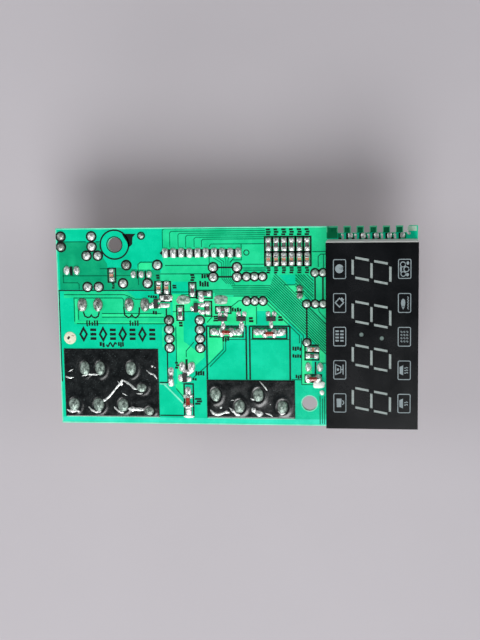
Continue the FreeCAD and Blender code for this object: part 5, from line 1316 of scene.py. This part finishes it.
def chip_marks():
    place = board_box("microcontroller")
    x0, y0, low = place[0], place[1], place[4]
    middle = middle_of(place)[0]
    marks = Shape()
    marks.prism(circle(middle, y0 + 0.05, 1.1, 1.1, 16, 0.0, math.pi), low - 0.02, low + 0.02)
    marks.prism(circle(x0 + 1.3, y0 + 2.0, 0.45, 0.45), low - 0.02, low + 0.02)
    for i in range(6):
        left, top = middle - 2.2 + (i % 2) * 0.4, y0 + 8 + i * 2.1
        marks.block(left, top, middle + 1.8, top + 0.35, low - 0.012, low + 0.02)
    marks.piece("microcontroller_marks", [BAND_SILVER], "black_moulding")


def buzzer_ring():
    place = board_box("buzzer")
    x, y = middle_of(place)[:2]
    low = place[4]
    hole = Shape()
    hole.ribbon(circle(x, y, 1.7, 1.7, 36), 0.3, low - 0.03, low + 0.05, closed=True)
    hole.piece("buzzer_ring", [MOULDED], "black_moulding")


def transformer_wires():
    """Each pin has a wire from its winding and a few turns wrapped round it."""
    wires = Shape()
    for i, place in enumerate(islands("transformer_pins")):
        x, y = middle_of(place)[:2]
        pin_low = place[4]
        upper_row = y < 34
        inward, drop = (1, 3.2) if upper_row else (-1, 13.5)
        points = []
        for k in range(13):
            t = k / 12
            swing = math.sin(t * math.pi)
            wire_x = x + 0.5 * swing + (0.9 if i % 2 else -0.7) * t
            wire_y = y - inward * (0.62 + 0.5 * swing) + inward * 0.9 * t
            points.append((wire_x, wire_y, pin_low + 1.2 - t * drop))
        wires.tube(points, 0.16)
        turns = [0.5 * n for n in range(38)]
        coil = [(x + 0.46 * math.cos(q), y + 0.46 * math.sin(q), pin_low + 0.9 + q * 0.045) for q in turns]
        wires.tube(coil, 0.11, 8)
    wires.piece("transformer_wire_ends", [THIN_WIRE], "copper_winding")


def underside_legend():
    """Printed outlines round the parts on the component side."""
    ink = Shape()
    under = board_box("circuit_board")[4]
    inset = 0.4
    for node, grow in (("relay_covers", 0.35), ("microcontroller", 0.6), ("optocoupler", 0.4),
                       ("resonator", 0.4), ("keypad_connector_housing", 0.4), ("power_resistor", 0.5),
                       ("axial_resistors", 0.4), ("rectifier_diodes", 0.3)):
        for place in islands(node):
            x0, y0, x1, y1 = place[:4]
            left, top = max(x0 - grow, inset), max(y0 - grow, inset)
            right, bottom = min(x1 + grow, BOARD_WIDE - inset), min(y1 + grow, BOARD_TALL - inset)
            ink.ribbon(corners_of(left, top, right, bottom), 0.2, under - 0.02, under, closed=True)
    for place in islands("capacitor_cans") + islands("buzzer"):
        x, y, radius, _ = middle_of(place)
        ink.ribbon(circle(x, y, radius + 0.4, radius + 0.4, 40), 0.2, under - 0.02, under, closed=True)
    ink.piece("underside_legend", [LEGEND_UNDER], "circuit_board")


chip_marks()
buzzer_ring()
transformer_wires()
underside_legend()


# ---- floor, light and camera ------------------------------------------------------------------------

def aim_lamp(light, name, place, centre):
    """A lamp at a place from the centre, in metres, that looks at the centre."""
    lamp = new_object(name, light)
    lamp.location = centre + Vector(place)
    lamp.rotation_mode = "QUATERNION"
    lamp.rotation_quaternion = (-Vector(place)).to_track_quat("-Z", "Y")


def paper_floor(level):
    mesh = bmesh.new()
    bmesh.ops.create_circle(mesh, cap_ends=True, radius=6.0, segments=96)
    data = mesh_data("floor", mesh)
    data.materials.append(PAPER)
    floor = new_object("floor", data)
    floor.location.z = level


def sky():
    """Mid grey up to the horizon, and nearly black overhead."""
    world = bpy.data.worlds.new("studio")
    bpy.context.scene.world = world
    world.use_nodes = True
    tree = world.node_tree
    background = tree.nodes["Background"]
    place = tree.nodes.new("ShaderNodeTexCoord")
    split = tree.nodes.new("ShaderNodeSeparateXYZ")
    ramp = tree.nodes.new("ShaderNodeValToRGB")
    tree.links.new(place.outputs["Generated"], split.inputs["Vector"])
    tree.links.new(split.outputs["Z"], ramp.inputs["Fac"])
    tree.links.new(ramp.outputs["Color"], background.inputs["Color"])
    ramp.color_ramp.elements[0].position = 0.04
    ramp.color_ramp.elements[0].color = (0.46, 0.46, 0.47, 1)
    ramp.color_ramp.elements[1].position = 0.8
    ramp.color_ramp.elements[1].color = (0.04, 0.04, 0.045, 1)
    background.inputs["Strength"].default_value = 1.0


def lamps():
    low, high = cad_bounds
    centre = Vector(((low.x + high.x) / 2, (low.y + high.y) / 2, board_high.z))
    for name, place, size, power in (
            ("overhead", (0.1, -0.36, 0.7), 0.36, 0.8),
            ("left", (-0.5, 0.1, 0.4), 0.34, 1.2),
            ("right", (0.5, 0.1, 0.42), 0.34, 0.9),
            ("front", (-0.1, -0.6, 0.12), 0.4, 2.1)):
        light = bpy.data.lights.new(name, "AREA")
        light.shape = "DISK"
        light.size = size
        light.energy = power
        aim_lamp(light, name, place, centre)
    sun = bpy.data.lights.new("sun", "SUN")
    sun.energy = 1.98
    sun.angle = math.radians(36)
    aim_lamp(sun, "sun", (0.1, -0.6, 0.74), centre)


def place_camera():
    """Looks down on the copper side, with the board's long side nearly level in the picture."""
    camera = bpy.data.cameras.new("camera")
    camera.lens = 61.875
    camera.clip_start = 0.01
    camera.clip_end = 30.0
    eye = new_object("camera", camera)
    place, target = at(98.4, -17.65, 335.16), at(57.71, 28.80, 0.0)
    ahead = (target - place).normalized()
    right = ahead.cross(Vector((0.015, 1.0, 0.0))).normalized()
    up = right.cross(ahead)
    eye.matrix_world = Matrix((
        (right.x, up.x, -ahead.x, place.x),
        (right.y, up.y, -ahead.y, place.y),
        (right.z, up.z, -ahead.z, place.z),
        (0.0, 0.0, 0.0, 1.0),
    ))
    bpy.context.scene.camera = eye


paper_floor(cad_bounds[0].z)
sky()
lamps()
place_camera()
bpy.context.scene.view_settings.view_transform = "Standard"
